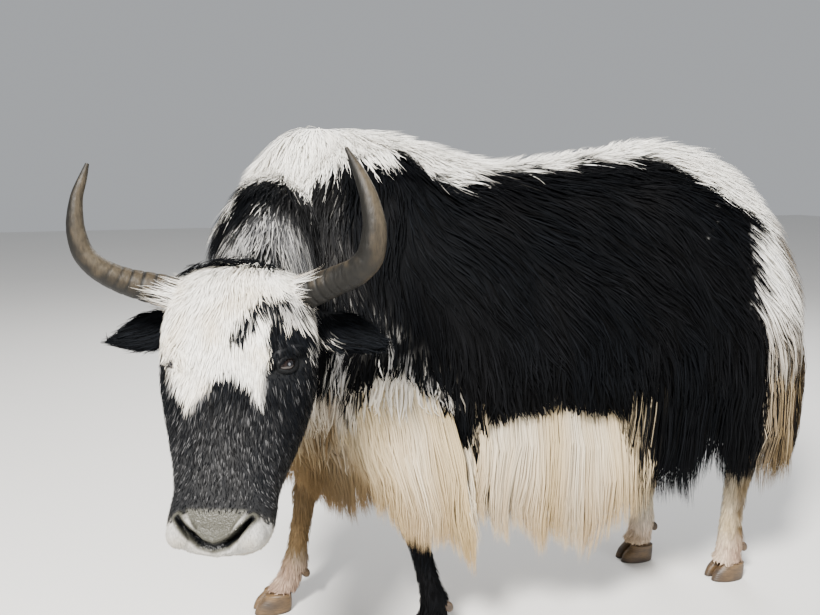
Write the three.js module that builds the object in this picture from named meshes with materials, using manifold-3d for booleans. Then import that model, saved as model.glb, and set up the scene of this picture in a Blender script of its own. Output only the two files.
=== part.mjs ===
// A standing yak at life size, head turned to its left, in millimetres.
// +X points from the rump to the chest, +Y to the animal's left, +Z up.
// The body is shaped as one form and parted with thin cuts into the parts that a person would name.
import * as THREE from 'three';
import { mergeVertices } from 'three/addons/utils/BufferGeometryUtils.js';
import Module from 'manifold-3d';

const wasm = await Module();
wasm.setup();

// Air between two pieces that touch.
const GAP = 0.35;
// A short step along a line, as a share of it, for finding its direction.
const LINE_STEP = 0.01;

// A smooth curve through a few pairs of [place, value], level beyond its ends.
function through(pairs) {
  const last = pairs.length - 1;
  const slope = (i) => {
    if (i === 0 || i === last) return 0;
    const before = (pairs[i][1] - pairs[i - 1][1]) / (pairs[i][0] - pairs[i - 1][0]);
    const after = (pairs[i + 1][1] - pairs[i][1]) / (pairs[i + 1][0] - pairs[i][0]);
    return before * after <= 0 ? 0 : (2 * before * after) / (before + after);
  };
  return (place) => {
    if (place <= pairs[0][0]) return pairs[0][1];
    if (place >= pairs[last][0]) return pairs[last][1];
    let i = 0;
    while (place > pairs[i + 1][0]) i += 1;
    const span = pairs[i + 1][0] - pairs[i][0];
    const t = (place - pairs[i][0]) / span;
    const stay = (2 * t ** 3 - 3 * t ** 2 + 1) * pairs[i][1] + (3 * t ** 2 - 2 * t ** 3) * pairs[i + 1][1];
    return stay + span * ((t ** 3 - 2 * t ** 2 + t) * slope(i) + (t ** 3 - t ** 2) * slope(i + 1));
  };
}

// Trunk: heights and widths along X.
const TRUNK_REAR = -772;
const TRUNK_FRONT = 790;
const TRUNK_STATIONS = 24;
const TRUNK_SIDES = 18;
// How much closer the trunk's and the head's stations stand near their ends, from 0 to 1.
const TRUNK_EASE = 0.55;
const HEAD_EASE = 0.5;
const BACK_LINE = through([
  [-772, 785], [-755, 857], [-722, 932], [-680, 995], [-612, 1081], [-511, 1171], [-400, 1210],
  [-295, 1220], [-180, 1202], [-11, 1180], [97, 1170], [250, 1198], [353, 1225], [472, 1243],
  [565, 1250], [622, 1226], [679, 1165], [737, 1070], [790, 900],
]);
const BELLY_LINE = through([
  [-772, 760], [-750, 670], [-720, 590], [-670, 520], [-600, 475], [-480, 455], [-300, 465],
  [-100, 480], [150, 478], [400, 462], [560, 470], [650, 500], [720, 560], [790, 740],
]);
const TRUNK_HALF = through([
  [-772, 20], [-752, 95], [-722, 150], [-670, 205], [-600, 245], [-480, 275], [-300, 288],
  [-100, 300], [100, 306], [250, 300], [400, 275], [520, 232], [620, 200], [700, 165], [790, 20],
]);
// How far up the trunk is widest, and how sharp its back is, from 1 for round upward.
const WIDEST_SHARE = 0.42;
const RIDGE = through([[-700, 1.05], [-300, 1.15], [100, 1.15], [400, 1.3], [565, 1.45], [700, 1.2]]);
const BELLY_ROUND = 0.85;

// Neck: [x, y, z, half height, half width] from the shoulders to the back of the head.
const NECK_ROWS = [
  [540, -10, 905, 285, 190], [620, 20, 912, 262, 176], [665, 100, 910, 224, 143],
  [694, 185, 892, 190, 108], [722, 262, 866, 158, 95], [748, 330, 846, 126, 92],
];
const NECK_STATIONS = 7;
const NECK_SIDES = 16;

// Head: a frame with its origin at the poll. s points to the animal's left, n out of the face,
// d down the face to the muzzle.
const POLL = [778, 393, 977];
const HEADING = 70;
const FACE_TILT = 26;
const HEAD_TOP = -16;
const HEAD_LENGTH = 492;
const HEAD_STATIONS = 14;
const HEAD_SIDES = 16;
const HEAD_HALF = through([
  [-16, 45], [0, 90], [30, 118], [80, 136], [130, 143], [190, 142], [240, 134], [300, 118],
  [350, 102], [400, 92], [440, 92], [465, 86], [482, 68], [492, 40],
]);
const FACE_LINE = through([
  [-16, -50], [0, -22], [30, -2], [90, 9], [150, 9], [230, 0], [310, -8], [390, -8],
  [430, -3], [460, -7], [482, -24], [492, -46],
]);
const JAW_LINE = through([
  [-16, -92], [0, -125], [40, -165], [100, -205], [170, -235], [230, -236], [290, -208],
  [350, -168], [410, -138], [455, -122], [482, -106], [492, -84],
]);
const WIDEST_DEPTH = through([[0, 45], [70, 74], [172, 95], [240, 98], [320, 88], [400, 60], [492, 20]]);
const JAW_SHARE = through([[0, 0.8], [150, 0.62], [300, 0.55], [420, 0.66], [492, 0.8]]);
// The least depth from the widest line of the head to its back.
const JAW_ROOM = 10;
const FACE_SQUARE = through([[0, 0.88], [100, 0.92], [172, 0.95], [240, 0.94], [330, 0.87], [400, 0.84]]);

// Eyes, in the head's frame.
const EYE_RADIUS = 20;
const EYE_PLACE = [92, -36, 172];
const EYE_SLIT = [16, 19, 12];
const EYE_FACING = 0.68;
const LID_DEPTH = 5;
const ORBIT_SIZE = [12, 38, 28];
const ORBIT_OUT = 26;

// Nostrils, lips and the line of the mouth, in the head's frame.
const NOSTRIL_PLACE = [46, -8, 455];
const NOSTRIL_SIZE = [9, 24, 25];
const NOSTRIL_TURN = 0.62;
const WING_SIZE = [27, 25, 33];
const WING_SHIFT = [8, -14, -2];
const CHIN_PLACE = [0, -86, 458];
const CHIN_SIZE = [52, 30, 36];
const LIP_PLACE = [0, -34, 468];
const LIP_SIZE = [74, 30, 27];
const MOUTH_DEPTH = -66;
const MOUTH_CORNER = 392;
const MOUTH_WIDTH = 4;
const MOUTH_CARVE = 11;
// The carving plate reaches this far past the muzzle on every side.
const MOUTH_PLATE_ROOM = 60;

// Horns: [s, n, d, radius] from inside the skull to the tip. The left one is thicker and longer.
const HORN_ROWS = {
  left: [
    [84, -62, 44, 33], [128, -48, 33, 30], [176, -24, 21, 27], [220, 5, 10, 25], [245, 28, -14, 24],
    [251, 48, -51, 21], [244, 62, -93, 17], [226, 70, -141, 11.8], [199, 71, -193, 3.3],
  ],
  right: [
    [93, -62, 44, 33], [143, -48, 33, 30], [201, -24, 24, 25], [246, 5, 7, 21], [270, 28, -22, 18],
    [276, 48, -60, 15], [273, 62, -98, 11.2], [264, 70, -130, 8.1], [258, 71, -163, 3.5],
  ],
};
const HORN_STATIONS = 14;
const HORN_SIDES = 10;

// Ears: [s, n, d, half width, cup depth] from the root to the tip.
const EAR_ROWS = [
  [108, -92, 76, 20, 10], [138, -104, 80, 30, 17], [170, -116, 86, 37, 18],
  [202, -124, 92, 33, 14], [230, -128, 99, 20, 8], [250, -130, 106, 4, 2],
];
const EAR_THICK = 6;
const EAR_LEAN = 0.15;
const EAR_ROOM = 0.6;
const EAR_ROOT_ROOM = 2;
const EAR_CUP_FROM = 0.3;
const EAR_STATIONS = 7;
const EAR_ARC = 6;
// The least depth of the hollow, so that both faces stay apart at the root.
const EAR_LEAST_HOLLOW = 0.4;

// Legs: hoof and shoulder or hip places, then [z, forward of the line, half length, half width].
const LEGS = {
  foreleg_left: { hoof: [317, 132], top: [392, 158, 640], kind: 'fore' },
  foreleg_right: { hoof: [662, -132], top: [452, -158, 640], kind: 'fore' },
  hindleg_left: { hoof: [-588, 82], top: [-470, 150, 760], kind: 'hind' },
  hindleg_right: { hoof: [-405, -90], top: [-430, -150, 760], kind: 'hind' },
};
const LEG_ROWS = {
  fore: [
    [48, -4, 46, 41], [80, -15, 36, 35], [112, -20, 40, 38], [165, -12, 31, 31], [250, 0, 31, 32],
    [325, 8, 41, 38], [380, 3, 42, 39], [450, 0, 54, 47], [540, -6, 80, 60], [640, -4, 112, 76],
    [760, 0, 125, 80],
  ],
  hind: [
    [48, -3, 46, 41], [80, -14, 36, 35], [115, -20, 41, 38], [175, -22, 33, 32], [280, -40, 35, 33],
    [360, -58, 45, 37], [420, -66, 50, 39], [490, -46, 58, 45], [570, -8, 92, 62], [660, 18, 132, 80],
    [780, 20, 150, 90],
  ],
};
const LEG_STATIONS = 12;
const LEG_SIDES = 10;
const KNEE_CUT = { fore: 400, hind: 440 };

// Hooves: two claws on each foot, and two dewclaws behind each fetlock.
const CLAW_HEIGHT = 48;
const CLAW_HALF = 18.5;
const CLAW_SPACING = 41;
const CLAW_TOE = 54;
const CLAW_HEEL = 40;
const CLAW_SIDES = 10;
// Levels of a claw: [height, share of the sole, shift back]. The toes turn in by CLAW_INWARD.
const CLAW_LEVELS = [[0, 1, 0], [22, 0.94, -5], [CLAW_HEIGHT, 0.7, -14]];
const CLAW_INWARD = 6;
const CLAW_SQUARE = 0.8;
const CLAW_NARROWS = 0.25;
// DEWCLAW_ROW counts down the rows of a leg, and lies between the second and the third.
const DEWCLAW_ROW = 1.5;
const DEWCLAW_TURN = 0.5;
const DEWCLAW_HEIGHT = 96;
const DEWCLAW_SPACING = 38;
const DEWCLAW_SIZE = [11, 8, 15];
const DEWCLAW_SUNK = 6;

// Where the body is parted: boxes of [low corner, high corner].
const SIDE_REACH = 430;
const FLOOR_SIDE = 20;
const PARTS = {
  foreleg_left: [[215, 45], [545, SIDE_REACH], 640],
  foreleg_right: [[250, -SIDE_REACH], [640, -45], 640],
  hindleg_left: [[-765, 35], [-331, SIDE_REACH], 700],
  hindleg_right: [[-765, -SIDE_REACH], [-291, -35], 700],
  flank_left: [[-330, 120], [214, SIDE_REACH], 600],
  flank_right: [[-290, -SIDE_REACH], [249, -120], 600],
};
const WORLD = 1500;
const NECK_CUT = { place: [600, 20, 800], turn: 20 };

// Hanging coat. Each skirt follows a line round its part, given as [x, y] from front to rear.
// hem gives the height of the tips along it, and each tier of locks is
// [height of the roots, how far inside the line, count, width, how much higher the tips end].
// lean moves the tips to the rear for each millimetre of length.
const SKIRTS = {
  foreleg_left: {
    line: [[536, 150], [515, 196], [450, 228], [380, 246], [300, 248], [236, 236]],
    hem: [[0, 481], [0.25, 385], [0.5, 290], [0.72, 228], [0.88, 275], [1, 300]],
    tiers: [[624, 0, 7, 92, 0], [560, 50, 5, 92, 16]],
    lean: 0.2,
  },
  foreleg_right: {
    line: [[630, -120], [600, -176], [530, -218], [440, -240], [350, -246], [270, -240]],
    hem: [[0, 430], [0.3, 365], [0.6, 300], [0.85, 270], [1, 290]],
    tiers: [[624, 0, 7, 92, 0], [560, 50, 5, 92, 16]],
    lean: 0.05,
  },
  foreleg_right_inner: {
    line: [[628, -60], [585, -66], [530, -72], [470, -80], [405, -88]],
    hem: [[0, 430], [0.3, 325], [0.6, 250], [0.8, 240], [1, 275]],
    tiers: [[590, 0, 5, 72, 0]],
    lean: 0.06,
  },
  flank_left: {
    line: [[196, 248], [60, 252], [-60, 252], [-180, 250], [-314, 246]],
    hem: [[0, 345], [0.15, 290], [0.4, 248], [0.6, 238], [0.8, 300], [1, 335]],
    tiers: [[596, 0, 8, 100, 0], [548, 66, 6, 96, 8]],
    lean: 0.03,
  },
  flank_right: {
    line: [[232, -248], [100, -252], [-30, -252], [-150, -250], [-276, -246]],
    hem: [[0, 330], [0.2, 275], [0.45, 245], [0.65, 250], [0.85, 300], [1, 330]],
    tiers: [[596, 0, 8, 100, 0], [548, 66, 6, 96, 8]],
    lean: 0.03,
  },
  hindleg_left: {
    line: [[-348, 252], [-450, 258], [-560, 246], [-650, 210], [-708, 148], [-736, 72]],
    hem: [[0, 380], [0.3, 345], [0.6, 330], [0.85, 345], [1, 385]],
    tiers: [[692, 0, 8, 100, 0], [616, 44, 5, 96, 18]],
    lean: 0.04,
  },
  hindleg_right: {
    line: [[-308, -252], [-420, -258], [-550, -246], [-645, -210], [-705, -148], [-736, -72]],
    hem: [[0, 370], [0.3, 340], [0.6, 330], [0.85, 345], [1, 385]],
    tiers: [[692, 0, 8, 100, 0], [616, 44, 5, 96, 18]],
    lean: 0.04,
  },
  brisket: {
    line: [[668, -110], [732, -55], [752, 20], [722, 96], [650, 170]],
    hem: [[0, 450], [0.4, 405], [0.7, 420], [1, 480]],
    tiers: [[676, 0, 6, 86, 0], [604, 44, 3, 80, -10]],
    lean: 0.02,
  },
};

// The shape of one lock: [share of its length, width, thickness] of each section before the tip,
// as shares of its full width and thickness.
const LOCK_SECTIONS = [[0, 0.75, 0.9], [0.14, 1, 1], [0.42, 0.95, 0.85], [0.74, 0.62, 0.5]];
const LOCK_EMERGES = 0.14;
const LOCK_FLATNESS = 0.26;
const LOCK_SUNK = 22;
const LOCK_STAND = 15;
const LOCK_SWAY = 12;
// How much lengths and widths vary, as a share, and how far a lock turns round its form, in degrees.
const LENGTH_VARIES = 0.15;
const WIDTH_VARIES = 0.15;
const TURN_VARIES = 6;
// Where the locks of the outer and inner tiers of a skirt stand, in steps from its start.
const TIER_STARTS = [0.4, 0.8];
const STEP_VARIES = 0.18;
const SKIRT_MARGIN = 0.2;

// Mane and mantle: rows of locks round the neck and the trunk. along is a share of the neck or a
// place on the trunk, and from and to are angles from the ridge, plus to the animal's left.
const MANE_ROWS = [
  { along: 0.1, from: -140, to: -45, count: 3, length: 180, width: 92 },
  { along: 0.34, from: -155, to: -84, count: 3, length: 150, width: 84 },
  { along: 0.36, from: 40, to: 155, count: 4, length: 165, width: 84 },
  { along: 0.64, from: -160, to: -88, count: 3, length: 130, width: 70 },
  { along: 0.64, from: 50, to: 165, count: 4, length: 140, width: 70 },
];
const MANTLE_ROWS = [
  { along: 585, from: 48, to: 100, count: 3, length: 190, width: 92 },
  { along: 470, from: 62, to: 96, count: 2, length: 180, width: 92 },
  { along: 560, from: -100, to: -50, count: 3, length: 190, width: 92 },
];
// How far a root may lie from its row, along the trunk in mm and along the neck as a share.
const TRUNK_SCATTER = 14;
const NECK_SCATTER = 0.04;
// How far roots and tips of a skirt scatter in height.
const ROOT_SCATTER = 42;
const TIP_SCATTER = 30;
const MANE_BACK = 0.45;
const MANE_PART = 0.7;
const MANE_DROOP = 0.9;

// Forelock: locks over the poll, in the head's frame.
const FORELOCK = {
  count: 5, from: -44, to: 44, down: -8, length: 78, width: 34, stand: 7, turns: 3, strays: 6,
};

// Tail: [x, y, z, half size along it, half size aside] from the dock to the tip.
const TAIL_ROWS = [
  [-690, 0, 970, 34, 30], [-728, 4, 905, 40, 34], [-756, 8, 815, 46, 36], [-790, 12, 695, 54, 40],
  [-818, 14, 560, 58, 42], [-826, 12, 430, 54, 38], [-836, 8, 330, 40, 28], [-842, 4, 262, 14, 10],
];
const TAIL_CORE_SHARE = 0.5;
const TAIL_STATIONS = 6;
const TAIL_SIDES = 8;
const TAIL_LOCKS = { count: 11, from: 0.2, to: 0.94, turn: 137.5, width: 56, tips: [0.78, 1] };
const TAIL_SPREAD = through([[0, 0.55], [0.15, 1.08], [0.6, 1.05], [1, 0.7]]);

// Seeds of the draws that vary the locks of each part.
const SEEDS = {
  foreleg_left: 11, foreleg_right: 12, foreleg_right_inner: 22, flank_left: 13, flank_right: 14,
  hindleg_left: 15, hindleg_right: 16, brisket: 17, mane: 18, mantle: 19, tail: 20, forelock: 21,
};

// Colours of the pieces, with roughness and metalness.
const FINISHES = {
  coat_black: [0x17161a, 0.9, 0],
  coat_white: [0xe6ded0, 0.95, 0],
  coat_cream: [0xcfbb97, 0.95, 0],
  coat_grey: [0x5a5a5c, 0.92, 0],
  horn: [0x5d5248, 0.45, 0],
  hoof: [0x6a4b33, 0.55, 0],
  eye: [0x140d0a, 0.08, 0],
};

// Solids from rings of points: every ring has as many points, and the ends are closed by fans.
function ringSolid(rings) {
  const count = rings[0].length;
  const middle = (ring) => ring.reduce((sum, p) => sum.add(p), new THREE.Vector3()).divideScalar(count);
  const points = [...rings.flat(), middle(rings[0]), middle(rings[rings.length - 1])];
  const startFan = points.length - 2;
  const endFan = points.length - 1;
  const lastRing = (rings.length - 1) * count;
  const faces = [];
  for (let i = 0; i < count; i += 1) {
    const next = (i + 1) % count;
    for (let r = 0; r < rings.length - 1; r += 1) {
      const a = r * count + i;
      const b = r * count + next;
      faces.push([a, b, b + count], [a, b + count, a + count]);
    }
    faces.push([next, i, startFan], [lastRing + i, lastRing + next, endFan]);
  }
  const geometry = new THREE.BufferGeometry().setFromPoints(points);
  geometry.setIndex(faces.flat());
  return solidOf(geometry);
}

// Six times the volume inside a list of triangles, negative where they face inwards.
function signedVolume(points, triangles) {
  const [a, b, c] = [new THREE.Vector3(), new THREE.Vector3(), new THREE.Vector3()];
  let sum = 0;
  for (let i = 0; i < triangles.length; i += 3) {
    a.fromArray(points, 3 * triangles[i]);
    b.fromArray(points, 3 * triangles[i + 1]);
    c.fromArray(points, 3 * triangles[i + 2]);
    sum += a.dot(b.cross(c));
  }
  return sum;
}

// A three.js geometry as a solid that can be joined and cut.
function solidOf(source) {
  const geometry = source.clone();
  geometry.deleteAttribute('normal');
  geometry.deleteAttribute('uv');
  const merged = mergeVertices(geometry, 1e-4);
  const vertProperties = new Float32Array(merged.attributes.position.array);
  const triVerts = new Uint32Array(merged.index.array);
  if (signedVolume(vertProperties, triVerts) < 0) {
    for (let i = 0; i < triVerts.length; i += 3) {
      [triVerts[i + 1], triVerts[i + 2]] = [triVerts[i + 2], triVerts[i + 1]];
    }
  }
  return new wasm.Manifold(new wasm.Mesh({ numProp: 3, vertProperties, triVerts }));
}

function geometryOf(solid) {
  const mesh = solid.getMesh();
  const geometry = new THREE.BufferGeometry();
  geometry.setAttribute('position', new THREE.BufferAttribute(new Float32Array(mesh.vertProperties), 3));
  geometry.setIndex(new THREE.BufferAttribute(new Uint32Array(mesh.triVerts), 1));
  return geometry;
}

function joined(solids) {
  return solids.reduce((whole, piece) => whole.add(piece));
}

// The largest closed surface of a solid: loose scraps and sealed hollows are left out.
function largest(solid) {
  const size = (piece) => {
    const mesh = piece.getMesh();
    return signedVolume(mesh.vertProperties, mesh.triVerts);
  };
  return solid.decompose().reduce((best, piece) => (size(piece) > size(best) ? piece : best));
}

function box(low, high) {
  const size = high.map((value, i) => value - low[i]);
  const geometry = new THREE.BoxGeometry(...size);
  geometry.translate(...low.map((value, i) => value + size[i] / 2));
  return solidOf(geometry);
}

// An egg shape with its own half sizes, turned about one axis and placed.
function egg(sizes, place, turnAxis = [0, 0, 1], turn = 0, [around, rise] = [12, 6]) {
  const geometry = new THREE.SphereGeometry(1, around, rise);
  geometry.scale(...sizes);
  const matrix = new THREE.Matrix4().makeRotationAxis(new THREE.Vector3(...turnAxis).normalize(), turn);
  matrix.setPosition(...place);
  geometry.applyMatrix4(matrix);
  return solidOf(geometry);
}

// A signed power, for sections that are rounder or squarer than an ellipse.
const bent = (value, power) => Math.sign(value) * Math.abs(value) ** power;

// How far an end ring moves out along its line in a solid that is grown: back at the first, on at the last.
const endStep = (share, grow) => (share === 0 ? -grow : 0) + (share === 1 ? grow : 0);

const shares = (count) => Array.from({ length: count }, (unused, i) => i / (count - 1));
// A share that moves more slowly near 0 and 1.
const eased = (share, ease) => ease * (0.5 - 0.5 * Math.cos(Math.PI * share)) + (1 - ease) * share;
const angles = (count) => Array.from({ length: count }, (unused, i) => (2 * Math.PI * i) / count);

// Values of table rows at a share of the way along them, smooth in every column.
function alongRows(rows) {
  const columns = rows[0].map((unused, c) => through(rows.map((row, i) => [i, row[c]])));
  return (share) => columns.map((column) => column(share * (rows.length - 1)));
}

// The same draws in every run.
function seeded(seed) {
  let state = seed;
  return () => {
    state = (state * 1664525 + 1013904223) % 4294967296;
    return state / 4294967296;
  };
}

// One flat, tapered lock along a path. The path gives a place and the direction out of the body.
function lock(path, width) {
  const points = LOCK_SECTIONS.flatMap(([share, wide, tall]) => {
    const { place, out } = path(share);
    const ahead = path(share + LINE_STEP).place.sub(path(Math.max(share - LINE_STEP, 0)).place).normalize();
    const side = new THREE.Vector3().crossVectors(ahead, out).normalize();
    const ridge = new THREE.Vector3().crossVectors(side, ahead);
    const half = (width / 2) * wide;
    const thick = width * LOCK_FLATNESS * tall;
    return [
      place.clone().addScaledVector(side, -half).addScaledVector(ridge, -thick / 3),
      place.clone().addScaledVector(side, half).addScaledVector(ridge, -thick / 3),
      place.clone().addScaledVector(ridge, (2 * thick) / 3),
    ];
  });
  const tip = points.length;
  points.push(path(1).place);
  const faces = [[0, 2, 1]];
  for (let i = 0; i < 3; i += 1) {
    const next = (i + 1) % 3;
    for (let r = 0; r < tip - 3; r += 3) {
      faces.push([r + i, r + next, r + next + 3], [r + i, r + next + 3, r + i + 3]);
    }
    faces.push([tip - 3 + i, tip - 3 + next, tip]);
  }
  const geometry = new THREE.BufferGeometry().setFromPoints(points);
  geometry.setIndex(faces.flat());
  return solidOf(geometry);
}

// A path that starts inside the body at root, comes out and bends from lie to hang.
function bentPath({ root, out, lie, hang, length, sway, stand = LOCK_STAND, sunk = LOCK_SUNK }) {
  const across = new THREE.Vector3().crossVectors(lie, out).normalize();
  return (t) => {
    const risen = t < LOCK_EMERGES
      ? THREE.MathUtils.lerp(-sunk, stand, t / LOCK_EMERGES)
      : (stand * (1 - t)) / (1 - LOCK_EMERGES);
    const place = root.clone()
      .addScaledVector(lie, length * (t - (t * t) / 2))
      .addScaledVector(hang, (length * t * t) / 2)
      .addScaledVector(out, risen)
      .addScaledVector(across, sway * Math.sin(Math.PI * t));
    return { place, out };
  };
}

const DOWN = new THREE.Vector3(0, 0, -1);

// Draws for one part: a share from 0 to 1, and a value to either side of zero.
function draws(seed) {
  const draw = seeded(seed);
  return { draw, vary: (amount) => (2 * draw() - 1) * amount };
}

// The locks of a skirt, tier by tier along its line.
function skirt({ line, hem, tiers, lean }, seed) {
  const { draw, vary } = draws(seed);
  const at = alongRows(line);
  const tips = through(hem);
  const turn = Math.sign(at(0.5)[1]);
  const fall = new THREE.Vector3(-lean, 0, -1).normalize();
  return tiers.flatMap(([top, inside, count, width, higher], tier) => shares(count).map((step) => {
    const shifted = (step * (count - 1) + TIER_STARTS[tier % 2] + vary(STEP_VARIES)) / (count + SKIRT_MARGIN);
    const place = THREE.MathUtils.clamp(shifted, LINE_STEP, 1 - LINE_STEP);
    const [x, y] = at(place);
    const [beforeX, beforeY] = at(place - LINE_STEP);
    const [afterX, afterY] = at(place + LINE_STEP);
    const out = new THREE.Vector3(afterY - beforeY, beforeX - afterX, 0).normalize().multiplyScalar(turn);
    const height = top - draw() * ROOT_SCATTER;
    const root = new THREE.Vector3(x, y, height).addScaledVector(out, -inside);
    const length = (height - tips(place) - higher - draw() * TIP_SCATTER) / -fall.z;
    const path = bentPath({ root, out, lie: fall, hang: fall, length, sway: vary(LOCK_SWAY) });
    return lock(path, width * (1 + vary(WIDTH_VARIES)));
  }));
}

// Rows of locks on a form whose surface is given by a place along it and an angle round it.
// They lie along the surface, back and down to either side, and their ends droop.
function coatLocks(surface, rows, scatter, seed) {
  const { vary } = draws(seed);
  return rows.flatMap(({ along, from, to, count, length, width }) => shares(count).map((step) => {
    const place = along + vary(scatter);
    const angle = THREE.MathUtils.degToRad(THREE.MathUtils.lerp(from, to, step) + vary(TURN_VARIES));
    const root = surface(place, angle);
    const round = surface(place, angle + LINE_STEP).sub(surface(place, angle - LINE_STEP)).normalize();
    const back = surface(place - scatter, angle).sub(surface(place + scatter, angle)).normalize();
    const out = new THREE.Vector3().crossVectors(round, back).normalize();
    if (out.dot(root.clone().sub(surface(place, angle + Math.PI))) < 0) out.negate();
    const lie = back.clone().multiplyScalar(MANE_BACK)
      .add(DOWN)
      .addScaledVector(round, Math.sign(angle) * MANE_PART * Math.max(Math.cos(angle), 0));
    lie.addScaledVector(out, -lie.dot(out)).normalize();
    const hang = lie.clone().addScaledVector(DOWN, MANE_DROOP).normalize();
    const reach = length * (1 + vary(LENGTH_VARIES));
    const path = bentPath({ root, out, lie, hang, length: reach, sway: vary(LOCK_SWAY) });
    return lock(path, width * (1 + vary(WIDTH_VARIES)));
  }));
}

// The tail: a core as far as its long hair starts to hang free, and locks round it to the tip.
function tailCore(grow = 0) {
  return swept(TAIL_ROWS, TAIL_STATIONS, TAIL_SIDES, grow, TAIL_CORE_SHARE);
}

function tail(seed) {
  const { draw, vary } = draws(seed);
  const at = alongRows(TAIL_ROWS);
  const { count, from, to, turn, width, tips } = TAIL_LOCKS;
  const locks = shares(count).map((step, i) => {
    const start = THREE.MathUtils.lerp(from, to, step) * TAIL_CORE_SHARE;
    const end = THREE.MathUtils.lerp(...tips, draw());
    const angle = THREE.MathUtils.degToRad(i * turn + vary(TURN_VARIES));
    const path = (t) => {
      const along = Math.min(THREE.MathUtils.lerp(start, end, t), 1);
      const { place, aside, up, tall, wide } = lineFrame(at, along);
      const out = up.clone().multiplyScalar(Math.cos(angle)).addScaledVector(aside, Math.sin(angle));
      place.addScaledVector(up, TAIL_SPREAD(t) * tall * Math.cos(angle));
      place.addScaledVector(aside, TAIL_SPREAD(t) * wide * Math.sin(angle));
      return { place, out };
    };
    return lock(path, width * (1 + vary(WIDTH_VARIES)));
  });
  return joined(locks).subtract(trunk(GAP)).add(tailCore());
}

// A point on the neck at a share of its length and an angle from its crest.
function neckPoint(share, angle) {
  const along = THREE.MathUtils.clamp(share, 0, 1);
  const { place, aside, up, tall, wide } = lineFrame(alongRows(NECK_ROWS), along);
  return place.addScaledVector(up, tall * Math.cos(angle)).addScaledVector(aside, wide * Math.sin(angle));
}

// A point of the trunk's surface at a place along it and an angle from the ridge of the back.
function trunkPoint(place, angle, grow = 0) {
  const top = BACK_LINE(place) + grow;
  const bottom = BELLY_LINE(place) - grow;
  const wide = bottom + (top - bottom) * WIDEST_SHARE;
  const half = TRUNK_HALF(place) + grow;
  const rise = Math.cos(angle);
  const power = rise > 0 ? RIDGE(place) : BELLY_ROUND;
  return new THREE.Vector3(
    place,
    half * bent(Math.sin(angle), power),
    wide + rise * (rise > 0 ? top - wide : wide - bottom),
  );
}

// The trunk, from the rump to the chest.
function trunk(grow = 0) {
  const rings = shares(TRUNK_STATIONS).map((share) => {
    const place = THREE.MathUtils.lerp(TRUNK_REAR, TRUNK_FRONT, eased(share, TRUNK_EASE));
    return angles(TRUNK_SIDES).map((angle) => trunkPoint(place, angle, grow));
  });
  return ringSolid(rings);
}

// The frame at a share of the way along a bent middle line: its place and its own three directions.
function lineFrame(at, share) {
  const [x, y, z, tall, wide] = at(share);
  const before = at(Math.max(share - LINE_STEP, 0));
  const after = at(Math.min(share + LINE_STEP, 1));
  const ahead = new THREE.Vector3(after[0] - before[0], after[1] - before[1], after[2] - before[2]);
  ahead.normalize();
  const aside = new THREE.Vector3(-ahead.y, ahead.x, 0).normalize();
  const up = new THREE.Vector3().crossVectors(ahead, aside);
  return { place: new THREE.Vector3(x, y, z), ahead, aside, up, tall, wide };
}

// A solid with rings square to a bent middle line.
// Each row holds a place, then the half size along up and the half size aside.
function swept(rows, stations, sides, grow = 0, reach = 1) {
  const at = alongRows(rows);
  const rings = shares(stations).map((share) => {
    const { place, ahead, aside, up, tall, wide } = lineFrame(at, share * reach);
    return angles(sides).map((angle) => place.clone()
      .addScaledVector(ahead, endStep(share, grow))
      .addScaledVector(up, (tall + grow) * Math.cos(angle))
      .addScaledVector(aside, (wide + grow) * Math.sin(angle)));
  });
  return ringSolid(rings);
}

// A solid with level rings. Each row holds z, x, y, then the half sizes along X and Y.
function upright(rows, stations, sides, grow = 0) {
  const at = alongRows(rows);
  const rings = shares(stations).map((share) => {
    const [z, x, y, length, width] = at(share);
    return angles(sides).map((angle) => new THREE.Vector3(
      x + (length + grow) * Math.cos(angle),
      y + (width + grow) * Math.sin(angle),
      z + Math.sign(rows[rows.length - 1][0] - rows[0][0]) * endStep(share, grow),
    ));
  });
  return ringSolid(rings);
}

// The head's own frame, as the matrix that takes s, n and d to the body's X, Y and Z.
function headMatrix() {
  const heading = THREE.MathUtils.degToRad(HEADING);
  const tilt = THREE.MathUtils.degToRad(FACE_TILT);
  const forward = new THREE.Vector3(Math.cos(heading), Math.sin(heading), 0);
  const up = new THREE.Vector3(0, 0, 1);
  const left = new THREE.Vector3().crossVectors(up, forward);
  const out = forward.clone().multiplyScalar(Math.cos(tilt)).addScaledVector(up, Math.sin(tilt));
  const down = new THREE.Vector3().crossVectors(left, out);
  return new THREE.Matrix4().makeBasis(left, out, down).setPosition(...POLL);
}
const HEAD_MATRIX = headMatrix();

function inHead(solid, matrix = HEAD_MATRIX) {
  const geometry = geometryOf(solid);
  geometry.applyMatrix4(matrix);
  return solidOf(geometry);
}

// A point of the bare head at a place down the face and an angle from its front.
function skullPoint(down, angle, grow = 0) {
  const front = FACE_LINE(down) + grow;
  const wide = FACE_LINE(down) - WIDEST_DEPTH(down);
  const back = Math.min(JAW_LINE(down), wide - JAW_ROOM) - grow;
  const out = Math.cos(angle);
  const square = FACE_SQUARE(down);
  const narrow = out > 0 ? 1 : 1 - (1 - JAW_SHARE(down)) * out * out;
  return new THREE.Vector3(
    (HEAD_HALF(down) + grow) * narrow * bent(Math.sin(angle), square),
    wide + bent(out, square) * (out > 0 ? front - wide : wide - back),
    down,
  );
}

// The head without its features, in its own frame.
function skull(grow = 0) {
  const from = HEAD_TOP - grow;
  const to = HEAD_LENGTH + grow;
  const rings = shares(HEAD_STATIONS).map((share) => {
    const down = THREE.MathUtils.lerp(from, to, eased(share, HEAD_EASE));
    return angles(HEAD_SIDES).map((angle) => skullPoint(down, angle, grow));
  });
  return ringSolid(rings);
}

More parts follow.
